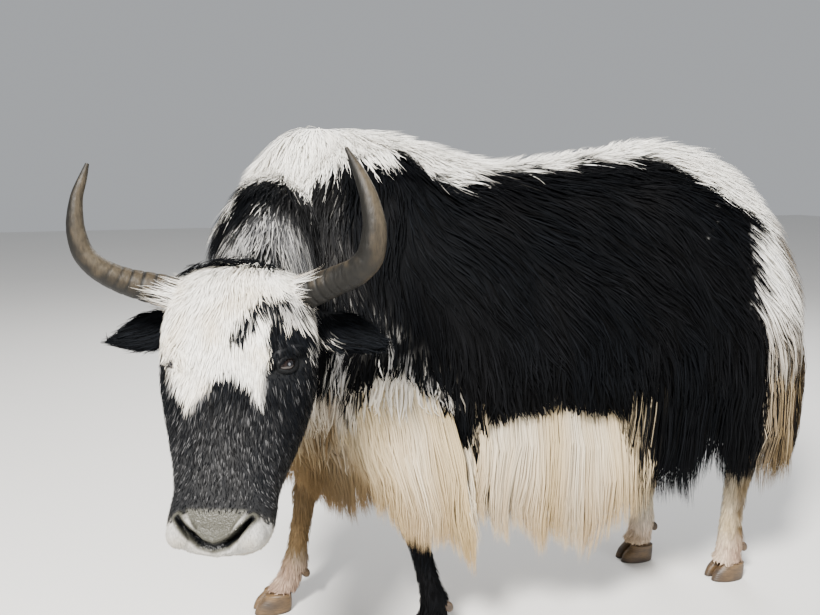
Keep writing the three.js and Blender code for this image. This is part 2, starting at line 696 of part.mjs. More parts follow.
// Locks over the poll that fall forward onto the forehead, clear of the neck.
function forelock(seed) {
  const { vary } = draws(seed);
  const { count, from, to, down, length, width, stand, turns, strays } = FORELOCK;
  const locks = shares(count).map((step) => {
    const angle = THREE.MathUtils.degToRad(THREE.MathUtils.lerp(from, to, step) + vary(turns));
    const start = down + vary(strays);
    const root = skullPoint(start, angle);
    const lie = skullPoint(start + length, angle).sub(root).normalize();
    const out = root.clone().sub(skullPoint(start, angle + Math.PI)).normalize();
    out.addScaledVector(lie, -out.dot(lie)).normalize();
    const reach = length * (1 + vary(LENGTH_VARIES));
    const path = bentPath({ root, out, lie, hang: lie, length: reach, sway: vary(strays), stand });
    return lock(path, width * (1 + vary(WIDTH_VARIES)));
  });
  const neck = swept(NECK_ROWS, NECK_STATIONS, NECK_SIDES, GAP);
  return joined(locks).subtract(inHead(neck, HEAD_MATRIX.clone().invert()));
}

const mirrored = ([s, n, d], side) => [side * s, n, d];

function eyeBall(side, grow = 0) {
  const radius = EYE_RADIUS + grow;
  return egg([radius, radius, radius], mirrored(EYE_PLACE, side), [0, 1, 0], 0, [14, 9]);
}

// Lids: a ball over the eye, opened by a slit along the face.
function lid(side) {
  const radius = EYE_RADIUS + LID_DEPTH;
  return egg([radius, radius, radius], mirrored(EYE_PLACE, side), [0, 1, 0], 0, [12, 6]);
}

function lidOpening(side) {
  const [s, n, d] = EYE_PLACE;
  const out = EYE_RADIUS + LID_DEPTH;
  const place = [side * (s + out * Math.cos(EYE_FACING)), n + out * Math.sin(EYE_FACING), d];
  return egg(EYE_SLIT, place, [0, 0, 1], side * EYE_FACING, [10, 6]);
}

// The eye lies in a shallow hollow of the skull, under the brow.
function orbit(side) {
  const [s, n, d] = EYE_PLACE;
  const place = [side * (s + ORBIT_OUT * Math.cos(EYE_FACING)), n + ORBIT_OUT * Math.sin(EYE_FACING), d];
  return egg(ORBIT_SIZE, place, [0, 0, 1], side * EYE_FACING, [12, 6]);
}

function nostril(side) {
  return egg(NOSTRIL_SIZE, mirrored(NOSTRIL_PLACE, side), [0, 1, 0], side * NOSTRIL_TURN, [8, 6]);
}

function nostrilWing(side) {
  const [s, n, d] = NOSTRIL_PLACE;
  const [outward, back, down] = WING_SHIFT;
  const place = [side * (s + outward), n + back, d + down];
  return egg(WING_SIZE, place, [0, 1, 0], side * NOSTRIL_TURN, [10, 5]);
}

// The line of the mouth is a thin groove that follows the muzzle round from corner to corner.
function mouthLine(flesh) {
  const half = HEAD_HALF(MOUTH_CORNER) + MOUTH_PLATE_ROOM;
  const plate = box(
    [-half, MOUTH_DEPTH - MOUTH_WIDTH / 2, MOUTH_CORNER],
    [half, MOUTH_DEPTH + MOUTH_WIDTH / 2, HEAD_LENGTH + MOUTH_PLATE_ROOM],
  );
  return plate.subtract(skull(-MOUTH_CARVE)).intersect(flesh);
}

function horn(side, grow = 0) {
  const rows = side > 0 ? HORN_ROWS.left : HORN_ROWS.right;
  const at = alongRows(rows.map(([s, n, d, radius]) => [side * s, n, d, radius]));
  const place = (share) => new THREE.Vector3(...at(share).slice(0, 3));
  const rings = shares(HORN_STATIONS).map((share) => {
    const radius = at(share)[3] + grow;
    const before = place(Math.max(share - LINE_STEP, 0));
    const ahead = place(Math.min(share + LINE_STEP, 1)).sub(before).normalize();
    const across = new THREE.Vector3(0, 1, 0).cross(ahead).normalize();
    const other = new THREE.Vector3().crossVectors(ahead, across);
    return angles(HORN_SIDES).map((angle) => place(share)
      .addScaledVector(ahead, endStep(share, grow))
      .addScaledVector(across, radius * Math.cos(angle))
      .addScaledVector(other, radius * Math.sin(angle)));
  });
  return ringSolid(rings);
}

// An ear is a leaf with a cupped section: a deep arc outside and a shallower one inside.
// The socket for its root in the head has the same outside, a little larger and with the cup filled.
function ear(side, socket = false) {
  const at = alongRows(EAR_ROWS);
  const turns = Array.from({ length: EAR_ARC + 1 }, (unused, i) => Math.PI * (i / EAR_ARC - 0.5));
  const rings = shares(EAR_STATIONS).map((share) => {
    const [s, n, d, half, cup] = at(share);
    const root = share === 0 ? EAR_ROOT_ROOM : 0;
    const room = socket ? EAR_ROOM + root : 0;
    const outside = turns.map((turn) => [
      (half + room) * Math.sin(turn),
      room - (cup + EAR_THICK / 2 + 2 * room) * Math.cos(turn),
    ]);
    const open = Math.min(1, share / EAR_CUP_FROM);
    const hollow = socket ? -room : Math.max(open * (cup - EAR_THICK / 2), EAR_LEAST_HOLLOW);
    const inside = turns.slice(1, -1).reverse().map((turn) => [
      (half - EAR_THICK / 3) * Math.sin(turn),
      -hollow * Math.cos(turn),
    ]);
    return [...outside, ...inside].map(([along, deep]) => new THREE.Vector3(
      side * (s - (socket ? root : 0) - EAR_LEAN * along),
      n + deep,
      d + along,
    ));
  });
  return ringSolid(rings);
}

function headParts() {
  const sides = { left: 1, right: -1 };
  let flesh = joined([
    skull().subtract(orbit(1)).subtract(orbit(-1)),
    forelock(SEEDS.forelock),
    egg(LIP_SIZE, LIP_PLACE),
    egg(CHIN_SIZE, CHIN_PLACE),
    nostrilWing(1), nostrilWing(-1), lid(1), lid(-1),
  ]);
  flesh = flesh.subtract(mouthLine(flesh));
  const parts = {};
  for (const [name, side] of Object.entries(sides)) {
    flesh = flesh.subtract(nostril(side)).subtract(lidOpening(side)).subtract(eyeBall(side, GAP));
    flesh = flesh.subtract(horn(side, GAP)).subtract(ear(side, true));
    parts[`eye_${name}`] = inHead(eyeBall(side));
    parts[`horn_${name}`] = inHead(horn(side));
    parts[`ear_${name}`] = inHead(ear(side).subtract(horn(side, GAP)));
  }
  parts.head = inHead(largest(flesh));
  return parts;
}

// A leg from the hoof's crown up into the trunk.
function legRows({ hoof, top, kind }) {
  return LEG_ROWS[kind].map(([z, forward, length, width], i) => {
    const share = z / top[2];
    const x = THREE.MathUtils.lerp(hoof[0], top[0], share) + forward;
    const y = THREE.MathUtils.lerp(hoof[1], top[1], share);
    return [i === 0 ? CLAW_HEIGHT + GAP : z, x, y, length, width];
  });
}

function leg(spec, grow = 0) {
  return upright(legRows(spec), LEG_STATIONS, LEG_SIDES, grow);
}

// One claw of a hoof: a flat sole, a steep front wall and a low heel.
function claw({ hoof }, side) {
  const rings = CLAW_LEVELS.map(([z, share, back]) => angles(CLAW_SIDES).map((angle) => {
    const ahead = Math.cos(angle);
    const length = ahead > 0 ? CLAW_TOE * ahead : CLAW_HEEL * ahead;
    const inward = ahead > 0 ? side * CLAW_INWARD * ahead * ahead : 0;
    const aside = CLAW_HALF * bent(Math.sin(angle), CLAW_SQUARE);
    return new THREE.Vector3(
      hoof[0] + share * length + back,
      hoof[1] + (side * CLAW_SPACING) / 2 + (1 - CLAW_NARROWS * (1 - share)) * aside - inward,
      z,
    );
  }));
  return ringSolid(rings);
}

// A dewclaw stands out of the back of the fetlock.
function dewclaw(spec, side, grow = 0) {
  const rows = legRows(spec);
  const [, x, y, length] = alongRows(rows)(DEWCLAW_ROW / (rows.length - 1));
  const place = [x - length + DEWCLAW_SUNK, y + (side * DEWCLAW_SPACING) / 2, DEWCLAW_HEIGHT];
  return egg(DEWCLAW_SIZE.map((size) => size + grow), place, [0, 1, 0], DEWCLAW_TURN, [8, 4]);
}

// The space of a part: its box, from below the floor to the height of its cut.
function space(name, grow = 0) {
  const [[lowX, lowY], [highX, highY], top] = PARTS[name];
  return box(
    [lowX - grow, lowY - grow, -FLOOR_SIDE - grow],
    [highX + grow, highY + grow, top + grow],
  );
}

function belowHeight(height) {
  return box([-WORLD, -WORLD, -FLOOR_SIDE], [WORLD, WORLD, height]);
}

function neckSpace(grow = 0) {
  const geometry = new THREE.BoxGeometry(WORLD, 2 * WORLD, 2 * WORLD);
  geometry.translate(WORLD / 2 - grow, 0, 0);
  geometry.rotateZ(THREE.MathUtils.degToRad(NECK_CUT.turn));
  geometry.translate(...NECK_CUT.place);
  return solidOf(geometry);
}

function bodyParts(head) {
  const parts = {};
  const legs = Object.values(LEGS).map((one) => leg(one));
  const flesh = joined([trunk(), swept(NECK_ROWS, NECK_STATIONS, NECK_SIDES), ...legs]);
  let torso = joined([flesh, ...coatLocks(trunkPoint, MANTLE_ROWS, TRUNK_SCATTER, SEEDS.mantle)])
    .subtract(neckSpace(GAP))
    .subtract(tailCore(GAP));
  let wholeTail = tail(SEEDS.tail);
  for (const name of Object.keys(PARTS)) {
    torso = torso.subtract(space(name, GAP));
    wholeTail = wholeTail.subtract(space(name, GAP));
    const skirts = Object.keys(SKIRTS).filter((key) => key.startsWith(name));
    const locks = skirts.flatMap((key) => skirt(SKIRTS[key], SEEDS[key]));
    let part = joined([flesh, ...locks]).intersect(space(name));
    const spec = LEGS[name];
    if (spec) {
      const cut = KNEE_CUT[spec.kind];
      let lower = leg(spec).intersect(belowHeight(cut));
      const [outer, inner] = spec.hoof[1] > 0 ? [1, -1] : [-1, 1];
      for (const [place, side] of [['outer', outer], ['inner', inner]]) {
        parts[`${name}_claw_${place}`] = claw(spec, side);
        parts[`${name}_dewclaw_${place}`] = dewclaw(spec, side);
        lower = lower.subtract(dewclaw(spec, side, GAP));
      }
      parts[`${name}_lower`] = lower;
      part = part.subtract(leg(spec, GAP).intersect(belowHeight(cut + GAP)));
      parts[`${name}_upper`] = largest(part);
    } else {
      parts[name] = largest(part);
    }
  }
  parts.torso = largest(torso);
  parts.tail = largest(wholeTail);
  const mane = coatLocks(neckPoint, MANE_ROWS, NECK_SCATTER, SEEDS.mane);
  let neck = joined([flesh, ...skirt(SKIRTS.brisket, SEEDS.brisket), ...mane]).intersect(neckSpace());
  for (const name of ['foreleg_left', 'foreleg_right']) {
    neck = neck.subtract(space(name, GAP)).subtract(leg(LEGS[name], GAP));
  }
  for (const piece of head) neck = neck.subtract(piece);
  parts.neck = largest(neck);
  return parts;
}

const FINISH_OF = (name) => {
  if (name.startsWith('eye')) return 'eye';
  if (name.startsWith('horn')) return 'horn';
  if (name.includes('claw')) return 'hoof';
  if (name.includes('lower') || name.startsWith('flank')) return 'coat_cream';
  if (name === 'head' || name === 'neck') return 'coat_grey';
  if (name === 'foreleg_left_upper' || name === 'tail') return 'coat_white';
  return 'coat_black';
};

function build() {
  const headOwn = headParts();
  const headGrown = [
    inHead(skull(GAP)),
    ...[1, -1].flatMap((side) => [inHead(horn(side, GAP)), inHead(ear(side, true))]),
  ];
  const solids = { ...bodyParts(headGrown), ...headOwn };
  const yak = new THREE.Group();
  for (const [name, solid] of Object.entries(solids)) {
    const [color, roughness, metalness] = FINISHES[FINISH_OF(name)];
    const mesh = new THREE.Mesh(
      geometryOf(solid),
      new THREE.MeshStandardMaterial({ color, roughness, metalness }),
    );
    mesh.name = name;
    yak.add(mesh);
  }
  // The origin is on the floor, under the middle of the whole animal.
  const bounds = new THREE.Box3().setFromObject(yak);
  const middle = bounds.getCenter(new THREE.Vector3());
  yak.position.set(-middle.x, -middle.y, 0);
  yak.updateMatrixWorld(true);
  return yak;
}

export default build();
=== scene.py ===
"""A yak that stands still: skin, coat, horns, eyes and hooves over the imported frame.

Shapes are worked out in millimetres in the animal's own axes: X ahead, Y to its left, Z up,
with the origin on the floor between the feet. place() turns them into the frame's metres.
"""
import math

import bmesh
import bpy
import numpy as np
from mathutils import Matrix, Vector
from mathutils.bvhtree import BVHTree
from mathutils.kdtree import KDTree


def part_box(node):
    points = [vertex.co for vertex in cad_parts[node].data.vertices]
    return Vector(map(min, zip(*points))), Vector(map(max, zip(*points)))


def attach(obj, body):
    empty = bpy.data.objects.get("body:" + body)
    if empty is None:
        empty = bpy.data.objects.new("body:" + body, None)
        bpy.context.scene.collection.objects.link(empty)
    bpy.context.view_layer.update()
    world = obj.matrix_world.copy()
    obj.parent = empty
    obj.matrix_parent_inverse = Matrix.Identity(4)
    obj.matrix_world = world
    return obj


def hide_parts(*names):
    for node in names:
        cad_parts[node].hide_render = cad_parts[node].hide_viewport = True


MM = 0.001
FULL_TURN = 2 * math.pi
PIECE_TRIANGLES = 190000

# The head's own frame: s to its left, n out of the face, d down the face from the poll.
POLL = np.array([778.0, 393.0, 977.0])
HEAD_TURN = math.radians(70)
HEAD_TILT = math.radians(26)
HEAD_AXES = np.array([
    [-math.sin(HEAD_TURN), math.cos(HEAD_TURN), 0],
    [
        math.cos(HEAD_TURN) * math.cos(HEAD_TILT),
        math.sin(HEAD_TURN) * math.cos(HEAD_TILT),
        math.sin(HEAD_TILT),
    ],
    [
        math.cos(HEAD_TURN) * math.sin(HEAD_TILT),
        math.sin(HEAD_TURN) * math.sin(HEAD_TILT),
        -math.cos(HEAD_TILT),
    ],
])

# Eyes, in the head's frame.
EYE_PLACE = np.array([92.0, -36.0, 172.0])
EYE_RADIUS = 20
EYE_FACING = 0.78
SLIT_TILT = math.radians(30)
SLIT_HALF_LENGTH = 20
SLIT_HALF_HEIGHT = 8.5
# The slit's outline runs from an ellipse at 2 to a diamond at 1.
SLIT_POWER = 1.6
# The fur comes nearer to the right eye, by this share.
RIGHT_EYE_SHARE = 2.2
LID_THICKNESS = 5
# What a distance is set to where it doesn't count.
FAR = 99.0
# The fold of the upper lid is a tent: its foot towards the nose, its top and its other foot,
# each as a place along the slit and a height across it.
LID_TENT = np.array([[19.0, 11.0], [2.0, 44.0], [-25.0, 15.0]])


# Curves and noise

def through(pairs):
    """A smooth curve through pairs of place and value, level beyond its ends."""
    places = np.array([place for place, value in pairs], float)
    values = np.array([value for place, value in pairs], float)
    steps = np.diff(values) / np.diff(places)
    slopes = np.zeros(len(places))
    product = steps[:-1] * steps[1:]
    total = steps[:-1] + steps[1:]
    slopes[1:-1] = np.where(product > 0, 2 * product / np.where(total == 0, 1, total), 0)

    def at(place):
        place = np.clip(place, places[0], places[-1])
        i = np.clip(np.searchsorted(places, place, side="right") - 1, 0, len(places) - 2)
        span = places[i + 1] - places[i]
        t = (place - places[i]) / span
        level = (2 * t ** 3 - 3 * t ** 2 + 1) * values[i] + (3 * t ** 2 - 2 * t ** 3) * values[i + 1]
        return level + span * ((t ** 3 - 2 * t ** 2 + t) * slopes[i] + (t ** 3 - t ** 2) * slopes[i + 1])

    return at


def along_rows(rows):
    """Every column of the rows as a smooth curve of the share of the way along them."""
    shares = np.linspace(0, 1, len(rows))
    columns = [through(list(zip(shares, column))) for column in zip(*rows)]
    return lambda share: np.stack([column(share) for column in columns], axis=-1)


def smooth(low, high, value):
    """0 below low, 1 above high, and an even ease between them."""
    t = np.clip((value - low) / (high - low), 0, 1)
    return t * t * (3 - 2 * t)


def mix(first, second, share):
    """Points or colours part of the way from the first to the second."""
    share = np.asarray(share, float)[..., None]
    return first * (1 - share) + second * share


def unit(vectors):
    """The vectors at a length of 1."""
    length = np.linalg.norm(vectors, axis=-1, keepdims=True)
    return vectors / np.maximum(length, 1e-9)


def dot(first, second):
    return (first * second).sum(axis=-1)


# Odd numbers that stir a cell's place and the seed, and the bits that are kept.
CELL_STIR = np.array([374761393, 668265263, 69069])
SEED_STIR = 97463
LAST_STIR = 1274126177
KEPT_BITS = 0xFFFFFFFF


def lattice(cells, seed):
    """A repeatable number from -1 to 1 for each cell of a lattice."""
    mixed = (cells @ CELL_STIR + seed * SEED_STIR) & KEPT_BITS
    mixed = ((mixed ^ (mixed >> 13)) * LAST_STIR) & KEPT_BITS
    mixed = mixed ^ (mixed >> 16)
    return mixed / (KEPT_BITS / 2) - 1


def noise(points, size, seed):
    """Soft noise from -1 to 1 with blobs of the given size."""
    scaled = np.asarray(points, float) / size
    low = np.floor(scaled).astype(np.int64)
    t = scaled - low
    t = t * t * (3 - 2 * t)
    total = 0
    for corner in np.ndindex(2, 2, 2):
        weight = np.prod(np.where(corner, t, 1 - t), axis=-1)
        total = total + weight * lattice(low + np.array(corner), seed)
    return total


def bent(value, power):
    """A power of the size of a value, with the value's sign."""
    return np.sign(value) * np.abs(value) ** power


def ring_grid(stations, sides):
    """The station and the angle of each point of rings with this many sides."""
    return np.meshgrid(stations, np.arange(sides) * FULL_TURN / sides, indexing="ij")


def to_head(points):
    """From the animal's axes to the head's frame."""
    return (points - POLL) @ HEAD_AXES.T


def from_head(points):
    """From the head's frame to the animal's axes."""
    return points @ HEAD_AXES + POLL


# Shapes of the body, the same as the solids'

BACK_LINE = through([
    [-772, 785], [-755, 857], [-722, 932], [-680, 995], [-612, 1081], [-511, 1171], [-400, 1210],
    [-295, 1220], [-180, 1202], [-11, 1180], [97, 1170], [250, 1198], [353, 1225], [472, 1243],
    [565, 1250], [622, 1226], [679, 1165], [737, 1070], [790, 900],
])
BELLY_LINE = through([
    [-772, 760], [-750, 670], [-720, 590], [-670, 520], [-600, 475], [-480, 455], [-300, 465],
    [-100, 480], [150, 478], [400, 462], [560, 470], [650, 500], [720, 560], [790, 740],
])
TRUNK_HALF = through([
    [-772, 20], [-752, 95], [-722, 150], [-670, 205], [-600, 245], [-480, 275], [-300, 288], [-100, 300],
    [100, 306], [250, 300], [400, 275], [520, 232], [620, 200], [700, 165], [790, 20],
])
RIDGE = through([[-700, 1.05], [-300, 1.15], [100, 1.15], [400, 1.3], [565, 1.45], [700, 1.2]])
BELLY_ROUND = 0.85
WIDEST_SHARE = 0.42
NECK_ROWS = [
    [540, -10, 905, 285, 190], [620, 20, 912, 262, 176], [665, 100, 910, 224, 143],
    [694, 185, 892, 190, 108], [722, 262, 866, 158, 95], [748, 330, 846, 126, 92],
]
TAIL_ROWS = [
    [-690, 0, 970, 34, 30], [-728, 4, 905, 40, 34], [-756, 8, 815, 46, 36], [-790, 12, 695, 54, 40],
    [-818, 14, 560, 58, 42], [-826, 12, 430, 54, 38], [-836, 8, 330, 40, 28], [-842, 4, 262, 14, 10],
]
LEGS = {
    "foreleg_left": {"hoof": (317, 132), "top": (392, 158, 640), "kind": "fore"},
    "foreleg_right": {"hoof": (662, -132), "top": (452, -158, 640), "kind": "fore"},
    "hindleg_left": {"hoof": (-588, 82), "top": (-470, 150, 760), "kind": "hind"},
    "hindleg_right": {"hoof": (-405, -90), "top": (-430, -150, 760), "kind": "hind"},
}
# Rows of height, forward shift, half length and half width.
LEG_ROWS = {
    "fore": [
        [48, -4, 46, 41], [80, -15, 36, 35], [112, -20, 40, 38], [165, -12, 31, 31], [250, 0, 31, 32],
        [325, 8, 41, 38], [380, 3, 42, 39], [450, 0, 54, 47], [540, -6, 80, 60], [640, -4, 112, 76],
        [760, 0, 125, 80],
    ],
    "hind": [
        [48, -3, 46, 41], [80, -14, 36, 35], [115, -20, 41, 38], [175, -22, 33, 32], [280, -40, 35, 33],
        [360, -58, 45, 37], [420, -66, 50, 39], [490, -46, 58, 45], [570, -8, 92, 62], [660, 18, 132, 80],
        [780, 20, 150, 90],
    ],
}
# Shapes of the head, in its own frame, along d.
HEAD_HALF = through([
    [-16, 45], [0, 90], [30, 118], [80, 136], [130, 143], [190, 142], [240, 134], [300, 118],
    [350, 102], [400, 92], [440, 92], [465, 86], [482, 68], [492, 40],
])
FACE_LINE = through([
    [-16, -50], [0, -22], [30, -2], [90, 9], [150, 9], [230, 0], [310, -8], [390, -8], [430, -3],
    [460, -7], [482, -24], [492, -46],
])
JAW_LINE = through([
    [-16, -92], [0, -125], [40, -165], [100, -205], [170, -235], [230, -236], [290, -208],
    [350, -168], [410, -138], [455, -122], [482, -106], [492, -84],
])
WIDEST_DEPTH = through([[0, 45], [70, 74], [172, 95], [240, 98], [320, 88], [400, 60], [492, 20]])
JAW_SHARE = through([[0, 0.8], [150, 0.62], [300, 0.55], [420, 0.66], [492, 0.8]])
FACE_SQUARE = through([[0, 0.88], [100, 0.92], [172, 0.95], [240, 0.94], [330, 0.87], [400, 0.84]])
HORN_ROWS = {
    "left": [
        [84, -62, 44, 33], [128, -48, 33, 30], [176, -24, 21, 27], [220, 5, 10, 25], [245, 28, -14, 24],
        [251, 48, -51, 21], [244, 62, -93, 17], [226, 70, -141, 11.8], [199, 71, -193, 3.3],
    ],
    "right": [
        [93, -62, 44, 33], [143, -48, 33, 30], [201, -24, 24, 25], [246, 5, 7, 21], [270, 28, -22, 18],
        [276, 48, -60, 15], [273, 62, -98, 11.2], [264, 70, -130, 8.1], [258, 71, -163, 3.5],
    ],
}
EAR_ROWS = [
    [108, -92, 76, 20, 10], [138, -104, 80, 30, 17], [170, -116, 86, 37, 18], [202, -124, 92, 33, 14],
    [230, -128, 99, 20, 8], [250, -130, 106, 4, 2],
]
SIDES = {"left": 1, "right": -1}


def trunk_point(place_x, angle, grow=0.0):
    """Points of the trunk's outline at angles from its ridge, grown or shrunk all round."""
    top = BACK_LINE(place_x) + grow
    bottom = BELLY_LINE(place_x) - grow
    wide = bottom + (top - bottom) * WIDEST_SHARE
    rise = np.cos(angle)
    power = np.where(rise > 0, RIDGE(place_x), BELLY_ROUND)
    across = (TRUNK_HALF(place_x) + grow) * bent(np.sin(angle), power)
    height = wide + rise * np.where(rise > 0, top - wide, wide - bottom)
    return np.stack([place_x + 0 * angle, across, height], -1)


def direction_along(at, share):
    """The direction of a bent line at shares of the way along it."""
    return unit(at(np.minimum(share + 0.01, 1))[..., :3] - at(np.maximum(share - 0.01, 0))[..., :3])


def line_frame(at, share):
    """Place, sideways and upward axes and half sizes of a bent middle line."""
    row = at(share)
    ahead = direction_along(at, share)
    aside = unit(np.stack([-ahead[..., 1], ahead[..., 0], 0 * ahead[..., 0]], -1))
    return row[..., :3], aside, np.cross(ahead, aside), row[..., 3:4], row[..., 4:5]


def swept(rows, stations, sides, grow=0.0, reach=1.0):
    """Rings round a bent middle line, up to a share of its length."""
    share, angle = ring_grid(np.linspace(0, reach, stations), sides)
    middle, aside, up, tall, wide = line_frame(along_rows(rows), share)
    upwards = up * (tall + grow) * np.cos(angle)[..., None]
    return middle + upwards + aside * (wide + grow) * np.sin(angle)[..., None]


def skull_point(down, angle, grow=0.0):
    """Points of the head's outline in its own frame, at angles from the front of the face."""
    front = FACE_LINE(down) + grow
    wide = FACE_LINE(down) - WIDEST_DEPTH(down)
    back = np.minimum(JAW_LINE(down), wide - 10) - grow
    out = np.cos(angle)
    square = FACE_SQUARE(down)
    narrow = np.where(out > 0, 1, 1 - (1 - JAW_SHARE(down)) * out * out)
    across = (HEAD_HALF(down) + grow) * narrow * bent(np.sin(angle), square)
    deep = wide + bent(out, square) * np.where(out > 0, front - wide, wide - back)
    return np.stack([across, deep, down], -1)


def leg_rows(spec):
    """Rows of place, half length and half width from the hoof's crown up."""
    rows = []
    for height, forward, length, width in LEG_ROWS[spec["kind"]]:
        share = height / spec["top"][2]
        middle_x = spec["hoof"][0] + (spec["top"][0] - spec["hoof"][0]) * share + forward
        middle_y = spec["hoof"][1] + (spec["top"][1] - spec["hoof"][1]) * share
        rows.append([middle_x, middle_y, height, length, width])
    return rows


def leg_rings(spec, grow, stations=60, sides=28):
    """Rings round a leg, which keep the hoof's crown as it is."""
    share, angle = ring_grid(np.linspace(0, 1, stations), sides)
    row = along_rows(leg_rows(spec))(share)
    shrink = grow * smooth(0, 0.15, share)
    return np.stack([
        row[..., 0] + (row[..., 3] + shrink) * np.cos(angle),
        row[..., 1] + (row[..., 4] + shrink) * np.sin(angle),
        row[..., 2],
    ], -1)


def horn_line(side):
    """Place and radius along a horn, in the head's frame."""
    return along_rows([[SIDES[side] * s, n, d, radius] for s, n, d, radius in HORN_ROWS[side]])


# The thickness of an ear at its edge and middle, the share of its length that is filled at the
# root, and how far its rings lean outwards.
EAR_EDGE = 2
EAR_WALL = 3
EAR_ROOT_SHARE = 0.25
EAR_LEAN = 0.15


def ear_rings(side, stations=14, arc=12):
    """A leaf with a cupped section."""
    at = along_rows(EAR_ROWS)
    turns = np.pi * (np.arange(arc + 1) / arc - 0.5)
    rings = []
    for share in np.linspace(0, 1, stations):
        s, n, d, half, cup = at(np.array(share))
        outside = [(half * math.sin(t), -(cup + EAR_WALL) * math.cos(t)) for t in turns]
        hollow = max(min(1, share / EAR_ROOT_SHARE) * (cup - EAR_WALL), 0.4)
        inside = [((half - EAR_EDGE) * math.sin(t), -hollow * math.cos(t)) for t in turns[1:-1][::-1]]
        ring = outside + inside
        rings.append([[side * (s - EAR_LEAN * along), n + deep, d + along] for along, deep in ring])
    return np.array(rings)


# Meshes

def origin_of_frame():
    """Where the animal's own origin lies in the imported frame, found from an eye, in metres."""
    low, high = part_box("eye_left")
    middle = (np.array(low) + np.array(high)) / 2
    return middle - from_head(EYE_PLACE) * MM


def place(points):
    """From millimetres in the animal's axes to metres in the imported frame."""
    return np.asarray(points) * MM + ORIGIN


def loft(rings):
    """Points and faces of a closed solid through rings of equal count."""
    rings = np.asarray(rings, float)
    count, sides = rings.shape[:2]
    faces = []
    for i in range(count - 1):
        for j in range(sides):
            after = (j + 1) % sides
            faces.append((i * sides + j, i * sides + after, (i + 1) * sides + after, (i + 1) * sides + j))
    faces.append(tuple(range(sides)))
    faces.append(tuple((count - 1) * sides + j for j in range(sides)))
    return rings.reshape(-1, 3), faces


def egg(sizes, middle, axis=(0, 1, 0), turn=0.0, rows=20, sides=32):
    """Points and faces of an ellipsoid turned about one axis."""
    rise, angle = ring_grid(np.linspace(0.02, math.pi - 0.02, rows), sides)
    ball = np.stack([np.sin(rise) * np.cos(angle), np.sin(rise) * np.sin(angle), np.cos(rise)], -1)
    ball = ball * np.array(sizes)
    axis = np.array(axis, float)
    turned = ball * math.cos(turn) + np.cross(axis, ball) * math.sin(turn)
    turned += axis * (ball @ axis)[..., None] * (1 - math.cos(turn))
    return loft(turned + np.array(middle))


def mesh_object(name, shells):
    """One object from several closed shells of points in millimetres and faces."""
    points, faces = [], []
    for shell_points, shell_faces in shells:
        start = len(points)
        points += [tuple(p) for p in place(shell_points)]
        faces += [tuple(start + i for i in face) for face in shell_faces]
    mesh = bpy.data.meshes.new(name)
    mesh.from_pydata(points, [], faces)
    work = bmesh.new()
    work.from_mesh(mesh)
    bmesh.ops.recalc_face_normals(work, faces=work.faces)
    work.to_mesh(mesh)
    work.free()
    mesh.shade_smooth()
    obj = bpy.data.objects.new(name, mesh)
    bpy.context.scene.collection.objects.link(obj)
    return obj


def applied(obj):
    """Gives the object the mesh that its modifiers make, and drops them."""
    graph = bpy.context.evaluated_depsgraph_get()
    mesh = bpy.data.meshes.new_from_object(obj.evaluated_get(graph))
    obj.modifiers.clear()
    obj.data = mesh
    return obj


def remeshed(obj, voxel, rounds):
    """The object as one even mesh with cells of a size in millimetres, smoothed so many times."""
    remesh = obj.modifiers.new("remesh", "REMESH")
    remesh.mode = "VOXEL"
    remesh.voxel_size = voxel * MM
    soften = obj.modifiers.new("soften", "SMOOTH")
    soften.factor = 0.5
    soften.iterations = rounds
    return applied(obj)


def vertex_vectors(obj, title):
    """A vector of each vertex: its place, co, or its normal."""
    flat = np.zeros(len(obj.data.vertices) * 3, np.float32)
    obj.data.vertices.foreach_get(title, flat)
    return flat.reshape(-1, 3).astype(float)


def points_of(obj):
    """The object's vertices in millimetres in the animal's axes."""
    return (vertex_vectors(obj, "co") - ORIGIN) / MM


def normals_of(obj):
    """The normals of the object's vertices."""
    return vertex_vectors(obj, "normal")


def set_points(obj, points):
    """Moves the object's vertices to points in millimetres."""
    obj.data.vertices.foreach_set("co", place(points).astype(np.float32).ravel())
    obj.data.update()


def set_colours(mesh, name, colours):
    """Gives the mesh a colour for each vertex."""
    attribute = mesh.color_attributes.new(name, "FLOAT_COLOR", "POINT")
    full = np.ones((len(colours), 4), np.float32)
    full[:, :3] = colours
    attribute.data.foreach_set("color", full.ravel())


def set_values(mesh, name, values):
    """Gives the mesh a number for each vertex."""
    attribute = mesh.attributes.new(name, "FLOAT", "POINT")
    attribute.data.foreach_set("value", np.asarray(values, np.float32))


# Skin

# How far the skin lies inside the solids' outline, by part, and the cells of its two meshes.
TRUNK_COAT = 14
NECK_COAT = 18
TAIL_COAT = 20
LEG_COAT = 5
HEAD_COAT = 3
BODY_VOXEL = 9
HEAD_VOXEL = 3.2
TRUNK_ENDS = (-772, 790)
TRUNK_STATIONS = 90
TRUNK_SIDES = 72
# The bony part of the tail, as a share of its length.
TAIL_SKIN_SHARE = 0.55
# A nostril, as s and d of its middle line from its top corner, and half its width along that line.
NOSTRIL_SLIT = np.array([[62.0, 434.0], [50.0, 448.0], [36.0, 462.0], [21.0, 475.0], [0.0, 480.0]])
NOSTRIL_REACH = [3.0, 5.5, 7.5, 8.0, 7.0]
NOSTRIL_DEPTH = 20
MOUTH_LEVEL = -66
MOUTH_CORNER = 388


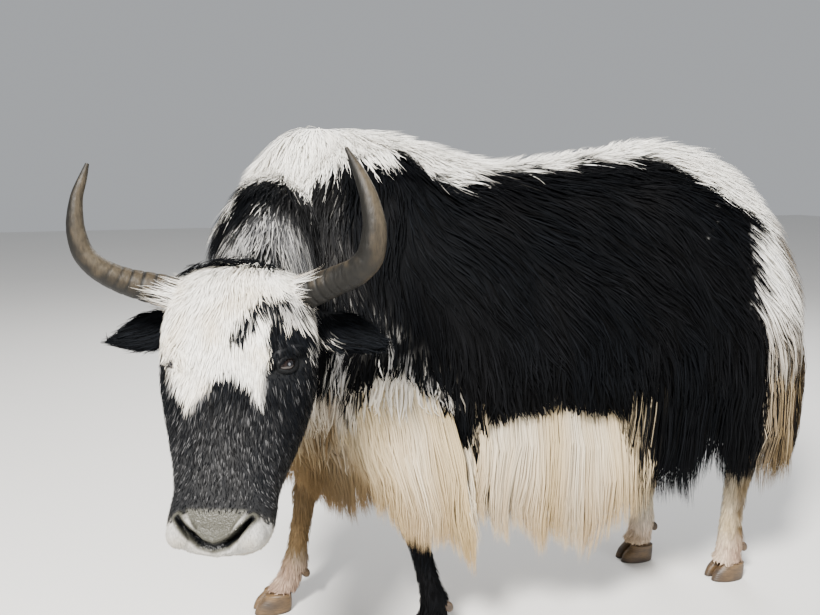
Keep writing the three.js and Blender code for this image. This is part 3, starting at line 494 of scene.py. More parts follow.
def body_skin():
    """The shell of trunk, neck, legs and the root of the tail."""
    share = np.linspace(0, 1, TRUNK_STATIONS)
    eased = 0.5 - 0.5 * np.cos(math.pi * share)
    rear, front = TRUNK_ENDS
    xs, angle = ring_grid(rear + (front - rear) * (0.55 * eased + 0.45 * share), TRUNK_SIDES)
    trunk = trunk_point(xs, angle, -TRUNK_COAT)
    trunk[0, :, 0] += TRUNK_COAT
    trunk[-1, :, 0] -= TRUNK_COAT
    shells = [
        loft(trunk),
        loft(swept(NECK_ROWS, 40, 56, -NECK_COAT)),
        loft(swept(TAIL_ROWS, 60, 20, -TAIL_COAT, TAIL_SKIN_SHARE)),
    ]
    shells += [loft(leg_rings(spec, -LEG_COAT)) for spec in LEGS.values()]
    return remeshed(mesh_object("skin", shells), BODY_VOXEL, 6)


def slit_axes(side):
    """Out of the eye, along its slit towards the nose, and up across it, in the head's frame."""
    out = np.array([side * math.cos(EYE_FACING), math.sin(EYE_FACING), 0])
    level = np.array([-side * math.sin(EYE_FACING), math.cos(EYE_FACING), 0])
    down = np.array([0, 0, 1.0])
    along = level * math.cos(SLIT_TILT) + down * math.sin(SLIT_TILT)
    return out, along, level * math.sin(SLIT_TILT) - down * math.cos(SLIT_TILT)


def tent_distance(offset, side):
    """Distance to the fold of an upper lid, for offsets from the middle of its eye."""
    along, up = slit_axes(side)[1:]
    return line_distance(np.stack([offset @ along, offset @ up], -1), LID_TENT)


def eye_zone(local, side):
    """How far out of the slit a point is: 1 at the edge of the lids. Also its height across the slit
    and its offset from the middle of the eye."""
    offset = local - EYE_PLACE * np.array([side, 1, 1])
    out, along, up = slit_axes(side)
    a = np.abs(offset @ along) / SLIT_HALF_LENGTH
    b = offset @ up / SLIT_HALF_HEIGHT
    zone = (a ** SLIT_POWER + np.abs(b) ** SLIT_POWER) ** (1 / SLIT_POWER)
    return np.where(offset @ out > 0, zone, FAR), b, offset


def eyes_zone(local):
    """The zone of the nearer eye."""
    return np.minimum(eye_zone(local, 1)[0], RIGHT_EYE_SHARE * eye_zone(local, -1)[0])


def nostril_distance(local):
    """Distance to the nearer nostril's middle line, and the share of the way along it."""
    flat = np.stack([np.abs(local[:, 0]), local[:, 2]], -1)
    best = np.full(len(flat), 1e9)
    share = np.zeros(len(flat))
    last = len(NOSTRIL_SLIT) - 1
    for i in range(last):
        step = NOSTRIL_SLIT[i + 1] - NOSTRIL_SLIT[i]
        t = np.clip((flat - NOSTRIL_SLIT[i]) @ step / (step @ step), 0, 1)
        gap = np.linalg.norm(flat - NOSTRIL_SLIT[i] - t[:, None] * step, axis=1)
        share = np.where(gap < best, (i + t) / last, share)
        best = np.minimum(gap, best)
    return best, share


def hump(value, middle, width):
    """1 at the middle, and soft towards 0 on both sides of it."""
    return np.exp(-((value - middle) / width) ** 2)


def eye_relief(local, side):
    """Which points lie near an eye, and their moves: lids, brow, pouch and the folds round them."""
    zone, height, offset = eye_zone(local, side)
    distance = np.linalg.norm(offset, axis=1)
    lid = EYE_RADIUS + LID_THICKNESS + 1.2 * np.clip(height, 0, 1)
    target = np.where(zone < 1, EYE_RADIUS - 7, lid)
    edge = 1 - smooth(1.45, 2.3, zone)
    fold = -3.0 * hump(zone, 1.75, 0.16) * smooth(-0.3, 0.6, height)
    brow = 6.0 * hump(zone, 2.6, 0.5) * smooth(0.2, 1.4, height)
    pouch = -2.0 * hump(zone, 1.9, 0.2) * smooth(0.0, 0.9, -height)
    reached = distance + (target - distance) * edge + fold + brow + pouch
    ridge = 3.5 * np.exp(-(tent_distance(offset, side) / 4.5) ** 2) * smooth(1.15, 1.5, zone)
    near = zone < 6
    return near, unit(offset[near]) * (reached + ridge - distance)[near, None]


def shaped_face(local, normals):
    """Lids, brows, nostrils, the line of the mouth and the folds, as moves of the head's skin."""
    moved = local.copy()
    for side in SIDES.values():
        near, moves = eye_relief(local, side)
        moved[near] += moves
    front = smooth(-75, -45, local[:, 1]) * smooth(395, 410, local[:, 2])
    gap, share = nostril_distance(local)
    reach = np.interp(share, np.linspace(0, 1, len(NOSTRIL_REACH)), NOSTRIL_REACH)
    sink = NOSTRIL_DEPTH * (1 - smooth(0.45, 1.05, gap / reach)) * (1 - 0.65 * smooth(0.6, 0.95, share))
    rim = 2.6 * np.exp(-((gap - reach - 4) / 3.2) ** 2)
    moved += normals * ((rim - sink) * front)[:, None]
    from_mouth = np.abs(local[:, 1] - MOUTH_LEVEL)
    mouth = 6 * hump(from_mouth, 0, 2.6) * smooth(MOUTH_CORNER, MOUTH_CORNER + 10, local[:, 2])
    mouth *= smooth(40, 20, from_mouth)
    lips = 2.5 * hump(from_mouth, 9, 5) * smooth(MOUTH_CORNER, 430, local[:, 2])
    moved += normals * (lips - mouth)[:, None]
    return moved


def head_skin():
    """The shell of skull, muzzle, lips, nostrils and ears, with the relief of the face."""
    down, angle = ring_grid(np.linspace(-13, 489, 110), 80)
    shells = [
        loft(skull_point(down, angle, -HEAD_COAT)),
        egg([74, 29, 26], [0, -34, 467]),
        egg([52, 29, 35], [0, -86, 457]),
    ]
    for side in SIDES.values():
        shells.append(egg([27, 25, 33], [side * 54, -22, 453], (0, 1, 0), side * 0.62))
        shells.append(loft(ear_rings(side)))
    shells = [(from_head(points), faces) for points, faces in shells]
    head = remeshed(mesh_object("head_skin", shells), HEAD_VOXEL, 4)
    refine_face(head)
    local = to_head(points_of(head))
    set_points(head, from_head(shaped_face(local, normals_of(head) @ HEAD_AXES.T)))
    return head


def refine_face(head):
    """Splits the faces round the eyes, nostrils and mouth, so that they take finer shapes."""
    local = to_head(points_of(head))
    eyes = np.minimum(eye_zone(local, 1)[0], eye_zone(local, -1)[0]) < 2.6
    nostrils = (nostril_distance(local)[0] < 16) & (local[:, 1] > -70) & (local[:, 2] > 400)
    mouth = (np.abs(local[:, 1] - MOUTH_LEVEL) < 10) & (local[:, 2] > MOUTH_CORNER - 8)
    chosen = eyes | nostrils | mouth
    work = bmesh.new()
    work.from_mesh(head.data)
    work.verts.ensure_lookup_table()
    edges = [e for e in work.edges if chosen[e.verts[0].index] and chosen[e.verts[1].index]]
    bmesh.ops.subdivide_edges(work, edges=edges, cuts=1, use_grid_fill=True)
    work.to_mesh(head.data)
    work.free()


def joined_skin(body, head):
    """One closed skin of both shells. Material place 1 marks the head."""
    for index, obj in enumerate((body, head)):
        obj.data.materials.clear()
        for name in ("skin_body", "skin_head"):
            obj.data.materials.append(MATERIALS[name])
        obj.data.polygons.foreach_set("material_index", np.full(len(obj.data.polygons), index, np.int32))
    union = body.modifiers.new("union", "BOOLEAN")
    union.operation = "UNION"
    union.solver = "MANIFOLD"
    union.object = head
    applied(body)
    bpy.data.objects.remove(head)
    body.data.shade_smooth()
    return body


# Markings

WHITE = np.array([0.86, 0.84, 0.79])
CREAM = np.array([0.57, 0.45, 0.26])
TAN = np.array([0.42, 0.28, 0.14])
BLACK = np.array([0.0018, 0.0021, 0.0027])
BROWN = np.array([0.016, 0.0125, 0.010])
GREY = np.array([0.33, 0.33, 0.34])
PAD = np.array([0.060, 0.058, 0.047])
PINK = np.array([0.60, 0.42, 0.34])

TOP_BORDER = through([
    [-500, 1040], [-433, 1079], [-377, 1100], [-330, 1125], [-312, 1150], [-230, 1168], [-125, 1165],
    [-16, 1151], [89, 1142], [198, 1136], [275, 1118], [320, 1138], [352, 1165], [400, 1190], [440, 1185],
    [476, 1178], [522, 1170], [576, 1128], [602, 1104], [640, 1122], [681, 1128], [712, 1103], [748, 1067],
    [790, 1045],
])
REAR_BORDER = through([
    [440, -552], [590, -535], [660, -537], [716, -525], [781, -505], [844, -480], [927, -477], [974, -484],
    [1032, -495], [1060, -480], [1110, -430],
])
FEATHER_TOP = through([
    [217, 366], [271, 473], [294, 548], [301, 587], [323, 627], [366, 676], [409, 705], [437, 715],
    [467, 713], [487, 695], [532, 673], [570, 640],
])
SKIRT_TOP = through([
    [-290, 400], [-240, 470], [-180, 520], [-123, 550], [-67, 558], [0, 600], [45, 618], [71, 626],
    [96, 600], [151, 602], [175, 590], [201, 580], [228, 605], [256, 632], [280, 658],
])
# Where along the trunk the light skirt fades out behind.
SKIRT_REAR = (-250, -128)
# Ahead of this place the light hair belongs to the forelegs.
FEATHER_REAR = 245
RUMP_FLECKS = np.array([[-342, 246, 984], [-383, 227, 1019], [-393, 203, 1058], [-360, 240, 1003]])
FLECK_SIZE = 6.5
SHOULDER_WISP = np.array([[478, 815], [437, 760], [328, 671]])
# A dark wedge from the left horn's root into the white of the face, and a roan spot beside it.
SPUR = np.array([[76, 52], [48, 72], [28, 98], [14, 126]])
SPUR_WIDTH = 15
ROAN_MIDDLE = (90, 66)
ROAN_RADII = (36, 28)
# Bent lines on the neck: the dark crescent, the white tuft below it, the silver swirls, the white
# hair behind the poll and the brown shade under the hump, each with its half width.
CRESCENT = np.array([
    [644, 102, 1134], [671, 126, 1128], [694, 128, 1118], [713, 153, 1104], [727, 186, 1087],
    [741, 202, 1072], [757, 205, 1052],
])
CRESCENT_WIDTH = 13
NECK_TUFT = np.array([[708, 200, 1104], [681, 200, 1104], [652, 210, 1092]])
NECK_TUFT_WIDTH = 25
SILVER = np.array([[757, 252, 1038], [712, 262, 1056], [668, 250, 1060], [635, 262, 1010]])
SILVER_WIDTH = 60
POLL_WHITE = np.array([
    [790, 240, 1000], [761, 318, 993], [728, 342, 985], [689, 331, 976], [650, 300, 968],
])
POLL_WHITE_WIDTH = 24
NECK_SHADE = np.array([
    [520, 140, 1105], [573, 139, 1085], [622, 177, 1072], [575, 190, 1020], [530, 200, 990],
])
NECK_SHADE_WIDTH = 55
# The white of the face, round its outline, as a place round the head and a height along d.
BLAZE = np.array([
    [-113, -38], [-6, -32], [80, -23], [106, 4], [90, 36], [62, 54], [64, 100], [68, 150], [66, 200],
    [64, 252], [35, 212], [8, 192], [-25, 212], [-69, 262], [-106, 190], [-142, 102], [-151, 47], [-137, 8],
])
MUZZLE_TOP = through([
    [-110, 452], [-75, 442], [-54, 430], [-40, 425], [0, 423], [40, 425], [58, 426], [78, 434], [110, 452],
])


def polygon_distance(flat, corners):
    """Distance to the outline of a polygon, above 0 inside it."""
    best = np.full(len(flat), 1e9)
    inside = np.zeros(len(flat), bool)
    for start, end in zip(corners, np.roll(corners, -1, axis=0)):
        step = end - start
        t = np.clip((flat - start) @ step / (step @ step), 0, 1)
        best = np.minimum(best, np.linalg.norm(flat - start - t[:, None] * step, axis=1))
        crosses = (start[1] > flat[:, 1]) != (end[1] > flat[:, 1])
        run = np.where(step[1] == 0, 1, step[1])
        inside ^= crosses & (flat[:, 0] < step[0] * (flat[:, 1] - start[1]) / run + start[0])
    return np.where(inside, best, -best)


def line_distance(flat, line):
    """Distance to a bent line."""
    best = np.full(len(flat), 1e9)
    for start, end in zip(line[:-1], line[1:]):
        step = end - start
        t = np.clip((flat - start) @ step / (step @ step), 0, 1)
        best = np.minimum(best, np.linalg.norm(flat - start - t[:, None] * step, axis=1))
    return best


def light_border(x):
    """The height at which the light hair of the skirts and forelegs ends."""
    return np.where(x > FEATHER_REAR, FEATHER_TOP(x), SKIRT_TOP(x))


def bordered_light(points, ragged):
    """The share of light hair within the borders of crest, rear, skirts and forelegs, and the share of
    stained hair low on the rear and round the tail."""
    x, y, z = points.T
    light = smooth(-8, 8, z - TOP_BORDER(x) + ragged)
    behind = smooth(-10, 10, REAR_BORDER(z) - x + 1.6 * ragged) * smooth(380, 420, z)
    low_rear = behind * smooth(900, 660, z)
    light = np.maximum(light, behind * (1 - 0.46 * low_rear))
    tail_hair = smooth(-540, -590, x) * smooth(212, 165, np.abs(y)) * smooth(1075, 985, z)
    light = light * (1 - 0.42 * tail_hair)
    feather = smooth(-10, 10, FEATHER_TOP(x) - z + ragged) * smooth(240, 256, x)
    skirt = smooth(-10, 10, SKIRT_TOP(x) - z + ragged) * smooth(*SKIRT_REAR, x + 2.2 * ragged)
    skirt = skirt * smooth(262, 250, x)
    # One dark strand falls between the skirt and the left foreleg's hair.
    strand = np.exp(-((x - 300 + 0.25 * (650 - z)) / 16) ** 2) * smooth(700, 660, z) * (y > 0)
    light = np.maximum(light, np.maximum(feather, skirt) * (1 - strand))
    return light, np.maximum(low_rear, tail_hair)


def neck_marks(points, light, streaks):
    """The light hair with the neck's marks, and the shares of silver hair and of brown shade."""
    x, z = points[:, 0], points[:, 2]
    below = TOP_BORDER(x) - z
    neck = smooth(505, 530, x) * smooth(560, 800, z)
    soft = 1 + 0.25 * noise(points, 22, 16)

    def near(line, width):
        return neck * np.exp(-(line_distance(points, line) / (width * soft)) ** 4)

    silver = near(SILVER, SILVER_WIDTH)
    shade = near(NECK_SHADE, NECK_SHADE_WIDTH)
    light = light * (1 - near(CRESCENT, CRESCENT_WIDTH))
    light = np.maximum(light, near(NECK_TUFT, NECK_TUFT_WIDTH))
    light = np.maximum(light, 0.97 * near(POLL_WHITE, POLL_WHITE_WIDTH))
    light = np.maximum(light, silver * (0.45 + 0.25 * streaks))
    light = np.maximum(light, shade * (0.03 + 0.10 * streaks) * (below > 20))
    return light, silver, shade


def body_tone(points):
    """For places on the trunk, neck and legs: the share of light hair, its colour and the dark colour."""
    x, y, z = points.T
    below = TOP_BORDER(x) - z
    ragged = 14 * noise(points, 38, 11) + 9 * noise(points, 13, 12)
    light, stained = bordered_light(points, ragged)
    # Grey wisps on the shoulder, the neck's marks, and flecks on the rump.
    wisp = np.exp(-(line_distance(np.stack([x, z], -1), SHOULDER_WISP) / 24) ** 2)
    wisp = np.maximum(wisp, np.exp(-(((x - 541) / 26) ** 2 + ((z - 800) / 80) ** 2)))
    streaks = smooth(-0.45, 0.45, noise(points * np.array([1, 1, 0.4]), 14, 15))
    light = np.maximum(light, 0.75 * wisp * streaks)
    light, silver, shade = neck_marks(points, light, streaks)
    for fleck in RUMP_FLECKS:
        gap = np.linalg.norm((points - fleck) * np.array([1, 0.4, 0.6]), axis=1)
        light = np.maximum(light, 0.6 * smooth(FLECK_SIZE, FLECK_SIZE * 0.5, gap))
    # The two hind legs and the right foreleg are light from the knee down, the left foreleg is dark.
    light_leg = (x < -200) * smooth(372, 340, z + ragged) + (x > 300) * (y < 40) * smooth(700, 640, z)
    light = np.maximum(light, light_leg)
    light = light * (1 - smooth(352, 330, z) * (y > 40) * (x > 200) * (x < 480))
    brisket = smooth(500, 560, x) * smooth(760, 700, z)
    light = np.maximum(light, brisket * smooth(770, 720, z) * 0.93)

    tint = mix(WHITE, CREAM, np.clip(0.75 + 0.4 * noise(points, 60, 21), 0, 1) * smooth(820, 560, z))
    tint = mix(tint, TAN * 0.3, stained * np.clip(0.8 + 0.4 * noise(points, 24, 24), 0, 1))
    tint = mix(tint, GREY * 0.7, np.clip(np.maximum(wisp, 0.9 * silver), 0, 0.9) * (below > 10))
    tint = mix(tint, GREY * 0.2, shade * 0.9 * (below > 10))
    # The brisket's hair is tan, darkened further as painted shade.
    tint = mix(tint, TAN * 0.27, brisket * np.clip(0.8 + 0.5 * noise(points, 30, 22), 0, 1))
    # The right foreleg's hair is tan, darkened further as painted shadow cast by the head.
    right_fore = (x > 395) * (y < 40) * smooth(640, 560, z)
    tint = mix(tint, TAN * 0.38, 0.85 * right_fore * smooth(60, 200, z))
    tint = mix(tint, PINK, smooth(170, 90, z) * 0.45)
    dark = mix(BLACK, BROWN, np.clip(0.2 + 0.8 * noise(points, 90, 23), 0, 1) * (0.08 + 0.4 * shade))
    dark = mix(dark, GREY * 0.05, 0.7 * shade)
    dark = mix(dark, GREY * 0.2, 0.9 * silver)
    return np.clip(light, 0, 1), tint, dark


def head_tone(local):
    """For places on the head: the share of light hair, its colour and the dark colour."""
    s, n, d = local.T
    behind = np.maximum(FACE_LINE(d) - WIDEST_DEPTH(d) - n, 0)
    around = s + np.sign(s) * behind
    flat = np.stack([around, d], -1)
    in_blaze = polygon_distance(flat, BLAZE)
    ragged = 6 * noise(local, 20, 31) + 4 * noise(local, 8, 32)
    ragged = ragged + 9 * noise(local * np.array([1, 1, 0.35]), 7, 33) * smooth(170, 210, d)
    light = smooth(-7, 7, in_blaze + ragged)
    spur = np.exp(-(line_distance(flat, SPUR) / SPUR_WIDTH) ** 4)
    spur = spur * (0.94 + 0.06 * smooth(-0.4, 0.3, noise(local, 9, 36)))
    from_roan = [(place - middle) / radius for place, middle, radius in zip((s, d), ROAN_MIDDLE, ROAN_RADII)]
    roan = np.exp(-(from_roan[0] ** 2 + from_roan[1] ** 2) ** 2)
    mottled = 0.92 * roan * (0.75 + 0.25 * smooth(-0.5, 0.4, noise(local, 8, 37)))
    light = light * (1 - np.maximum(spur, mottled))
    light = np.maximum(light, np.maximum(0.38 * roan, 0.17 * spur))
    bridge = smooth(112, 85, np.abs(s)) * smooth(200, 270, d)
    cheek = smooth(150, 190, d) * smooth(1.8, 3.0, eyes_zone(local))
    light = np.maximum(light, np.maximum(bridge * 0.25, cheek * 0.15))
    temple = smooth(70, 90, s) * smooth(112, 92, d) * smooth(170, 130, behind + np.abs(s))
    cheek_grey = smooth(118, 135, around) * smooth(300, 250, around)
    cheek_grey = cheek_grey * smooth(60, 100, d) * smooth(190, 150, d)
    patches = np.clip(0.55 + 0.6 * noise(local, 12, 34), 0, 1)
    light = np.maximum(light, patches * np.maximum(temple, 0.4 * cheek_grey))
    muzzle = smooth(-5, 5, d - MUZZLE_TOP(s) + 0.7 * ragged) * (n > -105)
    light = np.maximum(light, muzzle * 0.97)
    light = np.maximum(light, 0.8 * smooth(425, 445, d) * (n < -60))
    light = light * (1 - smooth(150, 170, np.abs(s)) * (n < -70))
    fringe = smooth(-6, -22, d + 0.3 * ragged) * smooth(70, 55, np.abs(s - 8))
    light = light * (1 - 0.8 * fringe)

    tint = mix(WHITE, CREAM, np.clip(0.15 + 0.3 * noise(local, 30, 35), 0, 1))
    tint = mix(tint, GREY * 0.75, 0.7 * roan)
    low_face = smooth(150, 200, d) * smooth(440, 420, d)
    tint = mix(tint, GREY * 0.3, low_face * smooth(12, -4, in_blaze))
    # Painted shade: the hair of the muzzle is darker.
    tint = tint * (1 - 0.48 * smooth(405, 430, d))[:, None]
    speckle = np.clip(0.55 + 0.6 * noise(local * np.array([1, 1, 0.4]), 5, 38), 0, 1)
    dark = mix(BLACK * 1.6, GREY * 0.028, bridge * speckle * (0.45 + 0.55 * smooth(60, 20, np.abs(s))))
    return np.clip(light, 0, 1), tint, dark


def fold_distance(local):
    """Distance to the fold of the left eye's upper lid."""
    zone, height, offset = eye_zone(local, SIDES["left"])
    return np.where(zone < 8, np.minimum(tent_distance(offset, SIDES["left"]), FAR), FAR)


def pad_share(local):
    """1 on the bare pad between and round the nostrils."""
    s, n, d = local.T
    side = smooth(0, 5, 52 - 0.62 * (d - 424) - np.abs(s))
    pad = side * smooth(417, 424, d) * smooth(486, 476, d)
    round_slit = smooth(13, 7, nostril_distance(local)[0])
    return np.maximum(pad, round_slit) * (n > -60) * (d > 405)


def skin_colours(points, is_head):
    """The skin's colour at each vertex, and how wet it is."""
    light, tint, dark = body_tone(points)
    colours = mix(dark, tint * 0.8, light)
    local = to_head(points[is_head])
    light, tint, dark = head_tone(local)
    face = mix(dark, tint * 0.85, smooth(0.15, 0.85, light))
    wet = pad_share(local)
    face = mix(face, PAD, wet)
    # Painted shade: the insides of the nostrils are black.
    inside = smooth(7, 3, nostril_distance(local)[0]) * (local[:, 1] > -75) * (local[:, 2] > 405)
    face = mix(face, BLACK, inside)
    lids = eyes_zone(local)
    face = mix(face, BLACK, smooth(2.1, 1.7, lids))
    # Painted highlight along the crest of the left upper lid's fold.
    face = mix(face, GREY * 0.2, 0.5 * hump(fold_distance(local), 0, 2.4) * smooth(1.1, 1.5, lids))
    # Painted shade along the crease of the mouth.
    mouth = hump(local[:, 1], MOUTH_LEVEL, 3.5) * smooth(MOUTH_CORNER, MOUTH_CORNER + 8, local[:, 2])
    colours[is_head] = mix(face, BROWN, mouth)
    wetness = np.zeros(len(points))
    wetness[is_head] = wet
    return colours, wetness


# Tufts

class Surface:
    """The skin as roots are scattered over it and hair is kept outside it."""

    def __init__(self, obj):
        mesh = obj.data
        mesh.calc_loop_triangles()
        corners = np.zeros(len(mesh.loop_triangles) * 3, np.int32)
        mesh.loop_triangles.foreach_get("vertices", corners)
        owner = np.zeros(len(mesh.loop_triangles), np.int32)
        mesh.loop_triangles.foreach_get("polygon_index", owner)
        slots = np.zeros(len(mesh.polygons), np.int32)
        mesh.polygons.foreach_get("material_index", slots)
        self.points = points_of(obj)
        self.normals = normals_of(obj)
        self.corners = corners.reshape(-1, 3)
        self.head = slots[owner] == 1
        a, b, c = (self.points[self.corners[:, i]] for i in range(3))
        self.area = np.linalg.norm(np.cross(b - a, c - a), axis=1) / 2
        self.middle = (a + b + c) / 3
        self.tree = BVHTree.FromPolygons(self.points.tolist(), self.corners.tolist(), all_triangles=True)

    def scatter(self, count, weight, seed):
        """Roots and their normals, spread by area times weight."""
        random = np.random.default_rng(seed)
        mass = np.cumsum(self.area * weight)
        chosen = np.searchsorted(mass, (np.arange(count) + random.random(count)) / count * mass[-1])
        chosen = np.minimum(chosen, len(self.area) - 1)
        u, v = random.random((2, count, 1))
        flip = u + v > 1
        u, v = np.where(flip, 1 - u, u), np.where(flip, 1 - v, v)
        a, b, c = (self.corners[chosen, i] for i in range(3))
        roots = self.points[a] * (1 - u - v) + self.points[b] * u + self.points[c] * v
        normals = unit(self.normals[a] * (1 - u - v) + self.normals[b] * u + self.normals[c] * v)
        return roots, normals

    def nearest(self, points):
        found = [self.tree.find_nearest(p) for p in points.tolist()]
        return np.array([f[0] for f in found]), np.array([f[1] for f in found])


def lying_lines(surface, roots, normals, flow, length, segments, stand, height, pull, cling):
    """Middle lines of tufts that leave the skin at a low angle and then lie along the coat."""
    points = roots - normals * 1.5
    heading = unit(flow(roots, normals) + normals * stand[:, None])
    lines = [points]
    step = (length / segments)[:, None]
    for i in range(segments):
        points = points + heading * step
        skin, out = surface.nearest(points)
        above = dot(points - skin, out)
        share = (i + 1) / segments
        least = height * share ** 0.8
        points = points + out * np.maximum(least - above, 0)[:, None]
        points = points - out * (np.maximum(above - 1.5 * height * share - 2, 0) * cling)[:, None]
        heading = unit(unit(points - lines[-1]) * (1 - pull) + flow(points, out) * pull)
        lines.append(points)
    return np.stack(lines, 1)


def clumped(lines, every, strength, seed):
    """Draws each line towards a nearby leading one, more towards the tip."""
    random = np.random.default_rng(seed)
    leaders = random.permutation(len(lines))[:max(1, len(lines) // every)]
    tree = KDTree(len(leaders))
    for i, leader in enumerate(leaders):
        tree.insert(lines[leader, 0], i)
    tree.balance()
    nearest = np.array([leaders[tree.find(root)[1]] for root in lines[:, 0].tolist()])
    share = np.linspace(0, 1, lines.shape[1])[None, :, None]
    draw = strength * share ** 1.3 * random.uniform(0.55, 1.0, (len(lines), 1, 1))
    return lines * (1 - draw) + lines[nearest] * draw


def waved(lines, facing, amount, turns, seed):
    """Lets each line sway from side to side."""
    random = np.random.default_rng(seed)
    share = np.linspace(0, 1, lines.shape[1])[None, :]
    phase = random.random((len(lines), 1))
    most = amount * random.uniform(0.4, 1.3, (len(lines), 1))
    sway = np.sin(FULL_TURN * (turns * share + phase)) * share * most
    along = unit(lines[:, -1] - lines[:, 0])
    side = unit(np.cross(along, facing))
    return lines + side[:, None, :] * sway[..., None]


def strand_template(segments):
    """Faces of one strand: a root cap, three sides and a point, as corner lists."""
    faces = [(0, 1, 2)]
    for i in range(segments - 1):
        for j in range(3):
            after = (j + 1) % 3
            faces.append((3 * i + j, 3 * i + 3 + j, 3 * i + 3 + after, 3 * i + after))
    tip = 3 * segments
    last = tip - 3
    faces += [(last + j, tip, last + (j + 1) % 3) for j in range(3)]
    return faces


def strand_mesh(name, lines, width, facing, roots_colour, tips_colour, bake, seed):
    """One mesh of closed, tapered strands, with their colours and a bake patch for each."""
    count, rows = lines.shape[:2]
    segments = rows - 1
    random = np.random.default_rng(seed)
    along = unit(np.gradient(lines, axis=1))
    side = unit(np.cross(along, facing[:, None, :]))
    ridge = np.cross(side, along)
    share = np.linspace(0, 1, rows)
    profile = (0.55 + 0.45 * np.sin(math.pi * np.clip(share * 1.25, 0, 1))) * (1 - share ** 2.2)
    half = 0.5 * width[:, None, None] * profile[None, :, None]
    body = np.stack([lines - side * half, lines + side * half, lines + ridge * half * RIDGE_SHARE], 2)
    per = 3 * segments + 1
    points = np.concatenate([body[:, :segments].reshape(count, -1, 3), lines[:, -1:]], 1)

    faces = strand_template(segments)
    corners = np.concatenate([np.array(face) for face in faces])
    totals = np.array([len(face) for face in faces])
    every = (corners[None, :] + per * np.arange(count)[:, None]).ravel()
    mesh = bpy.data.meshes.new(name)
    mesh.vertices.add(count * per)
    mesh.vertices.foreach_set("co", place(points.reshape(-1, 3)).astype(np.float32).ravel())
    mesh.loops.add(len(every))
    mesh.loops.foreach_set("vertex_index", every.astype(np.int32))
    mesh.polygons.add(count * len(faces))
    starts = np.concatenate([[0], np.cumsum(np.tile(totals, count))[:-1]])
    mesh.polygons.foreach_set("loop_start", starts.astype(np.int32))
    mesh.update(calc_edges=True)
    mesh.shade_smooth()

    out = unit(facing[:, None, :] - along * dot(along, facing[:, None, :])[..., None])
    spread = np.stack([out - side * SIDE_SHARE, out + side * SIDE_SHARE, out], 2)
    normals = np.concatenate([spread[:, :segments].reshape(count, -1, 3), out[:, -1:]], 1)
    lift = np.concatenate([np.repeat(out[:, :segments], 3, axis=1), out[:, -1:]], 1)
    below = np.concatenate([[k % 3 == 1 or k == 0] * len(face) for k, face in enumerate(faces)])
    corner_normals = normals[:, corners] - 2 * lift[:, corners] * below[None, :, None]
    mesh.normals_split_custom_set(unit(corner_normals).reshape(-1, 3).tolist())

    t = np.append(np.repeat(share[:segments], 3), 1.0)
    across = np.append(np.tile([0.0, 1.0, 0.5], segments), 0.5)
    # Painted shade: each tuft darkens towards its root, where the hair crowds the skin.
    shade = (0.80 + 0.2 * smooth(0, 0.35, t))[None, :, None]
    colours = mix(roots_colour[:, None, :], tips_colour[:, None, :], np.tile(t ** 1.2, (count, 1))) * shade
    set_colours(mesh, "fur", colours.reshape(-1, 3))
    strand = np.stack([
        np.tile(across, count), np.tile(t, count), np.repeat(random.random(count), per),
    ], -1)
    attribute = mesh.attributes.new("strand", "FLOAT_VECTOR", "POINT")
    attribute.data.foreach_set("vector", strand.astype(np.float32).ravel())
    patch = bake[:, None, :] + BAKE_PATCH * np.stack([across - 0.5, t - 0.5], -1)[None]
    layer = mesh.uv_layers.new(name="OFBake")
    layer.data.foreach_set("uv", patch.reshape(-1, 2)[every].astype(np.float32).ravel())
    return mesh


def coat_piece(name, lines, width, facing, roots_colour, tips_colour, bake, seed):
    """One or more coat objects, each with no more than PIECE_TRIANGLES triangles."""
    most = PIECE_TRIANGLES // (6 * (lines.shape[1] - 2) + 4)
    for number, start in enumerate(range(0, len(lines), most), 1):
        part = slice(start, start + most)
        hair = [values[part] for values in (lines, width, facing, roots_colour, tips_colour, bake)]
        mesh = strand_mesh(f"{name}_{number}", *hair, seed + number)
        mesh.materials.append(MATERIALS["fur"])
        obj = bpy.data.objects.new(f"{name}_{number}", mesh)
        bpy.context.scene.collection.objects.link(obj)
        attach(obj, "root")


# A hair's ridge over its width, and how far its sides' shading turns from the skin's.
RIDGE_SHARE = 0.4
SIDE_SHARE = 0.45


# Each tuft has a small patch at its root's place on an unwrap of the skin.
BAKE_PATCH = 0.003


def bake_body(points):
    """The trunk's half of the unwrap."""
    x, y, z = points.T
    turn = np.arctan2(y, z - 800) / FULL_TURN + 0.5
    return np.stack([0.01 + 0.98 * turn, 0.46 + 0.52 * np.clip((x + 880) / 1760, 0, 1)], -1)


def bake_head(local):
    """The head's part of the unwrap."""
    s, n, d = local.T
    turn = np.arctan2(s, n + 90) / FULL_TURN + 0.5
    return np.stack([0.01 + 0.46 * turn, 0.02 + 0.20 * np.clip((d + 60) / 560, 0, 1)], -1)


def bake_leg(points):
    """A strip of the unwrap for each leg."""
    x, y, z = points.T
    leg = (x > 0) * 2 + (y > 0)
    turn = np.arctan2(y - np.sign(y) * 120, x - np.where(x > 0, 450, -480)) / FULL_TURN + 0.5
    return np.stack([0.50 + 0.12 * leg + 0.11 * turn, 0.02 + 0.20 * np.clip(z / 700, 0, 1)], -1)


def bake_tail(share, angle):
    """The tail's part of the unwrap."""
    return np.stack([0.02 + 0.44 * (angle / FULL_TURN % 1), 0.25 + 0.18 * share], -1)


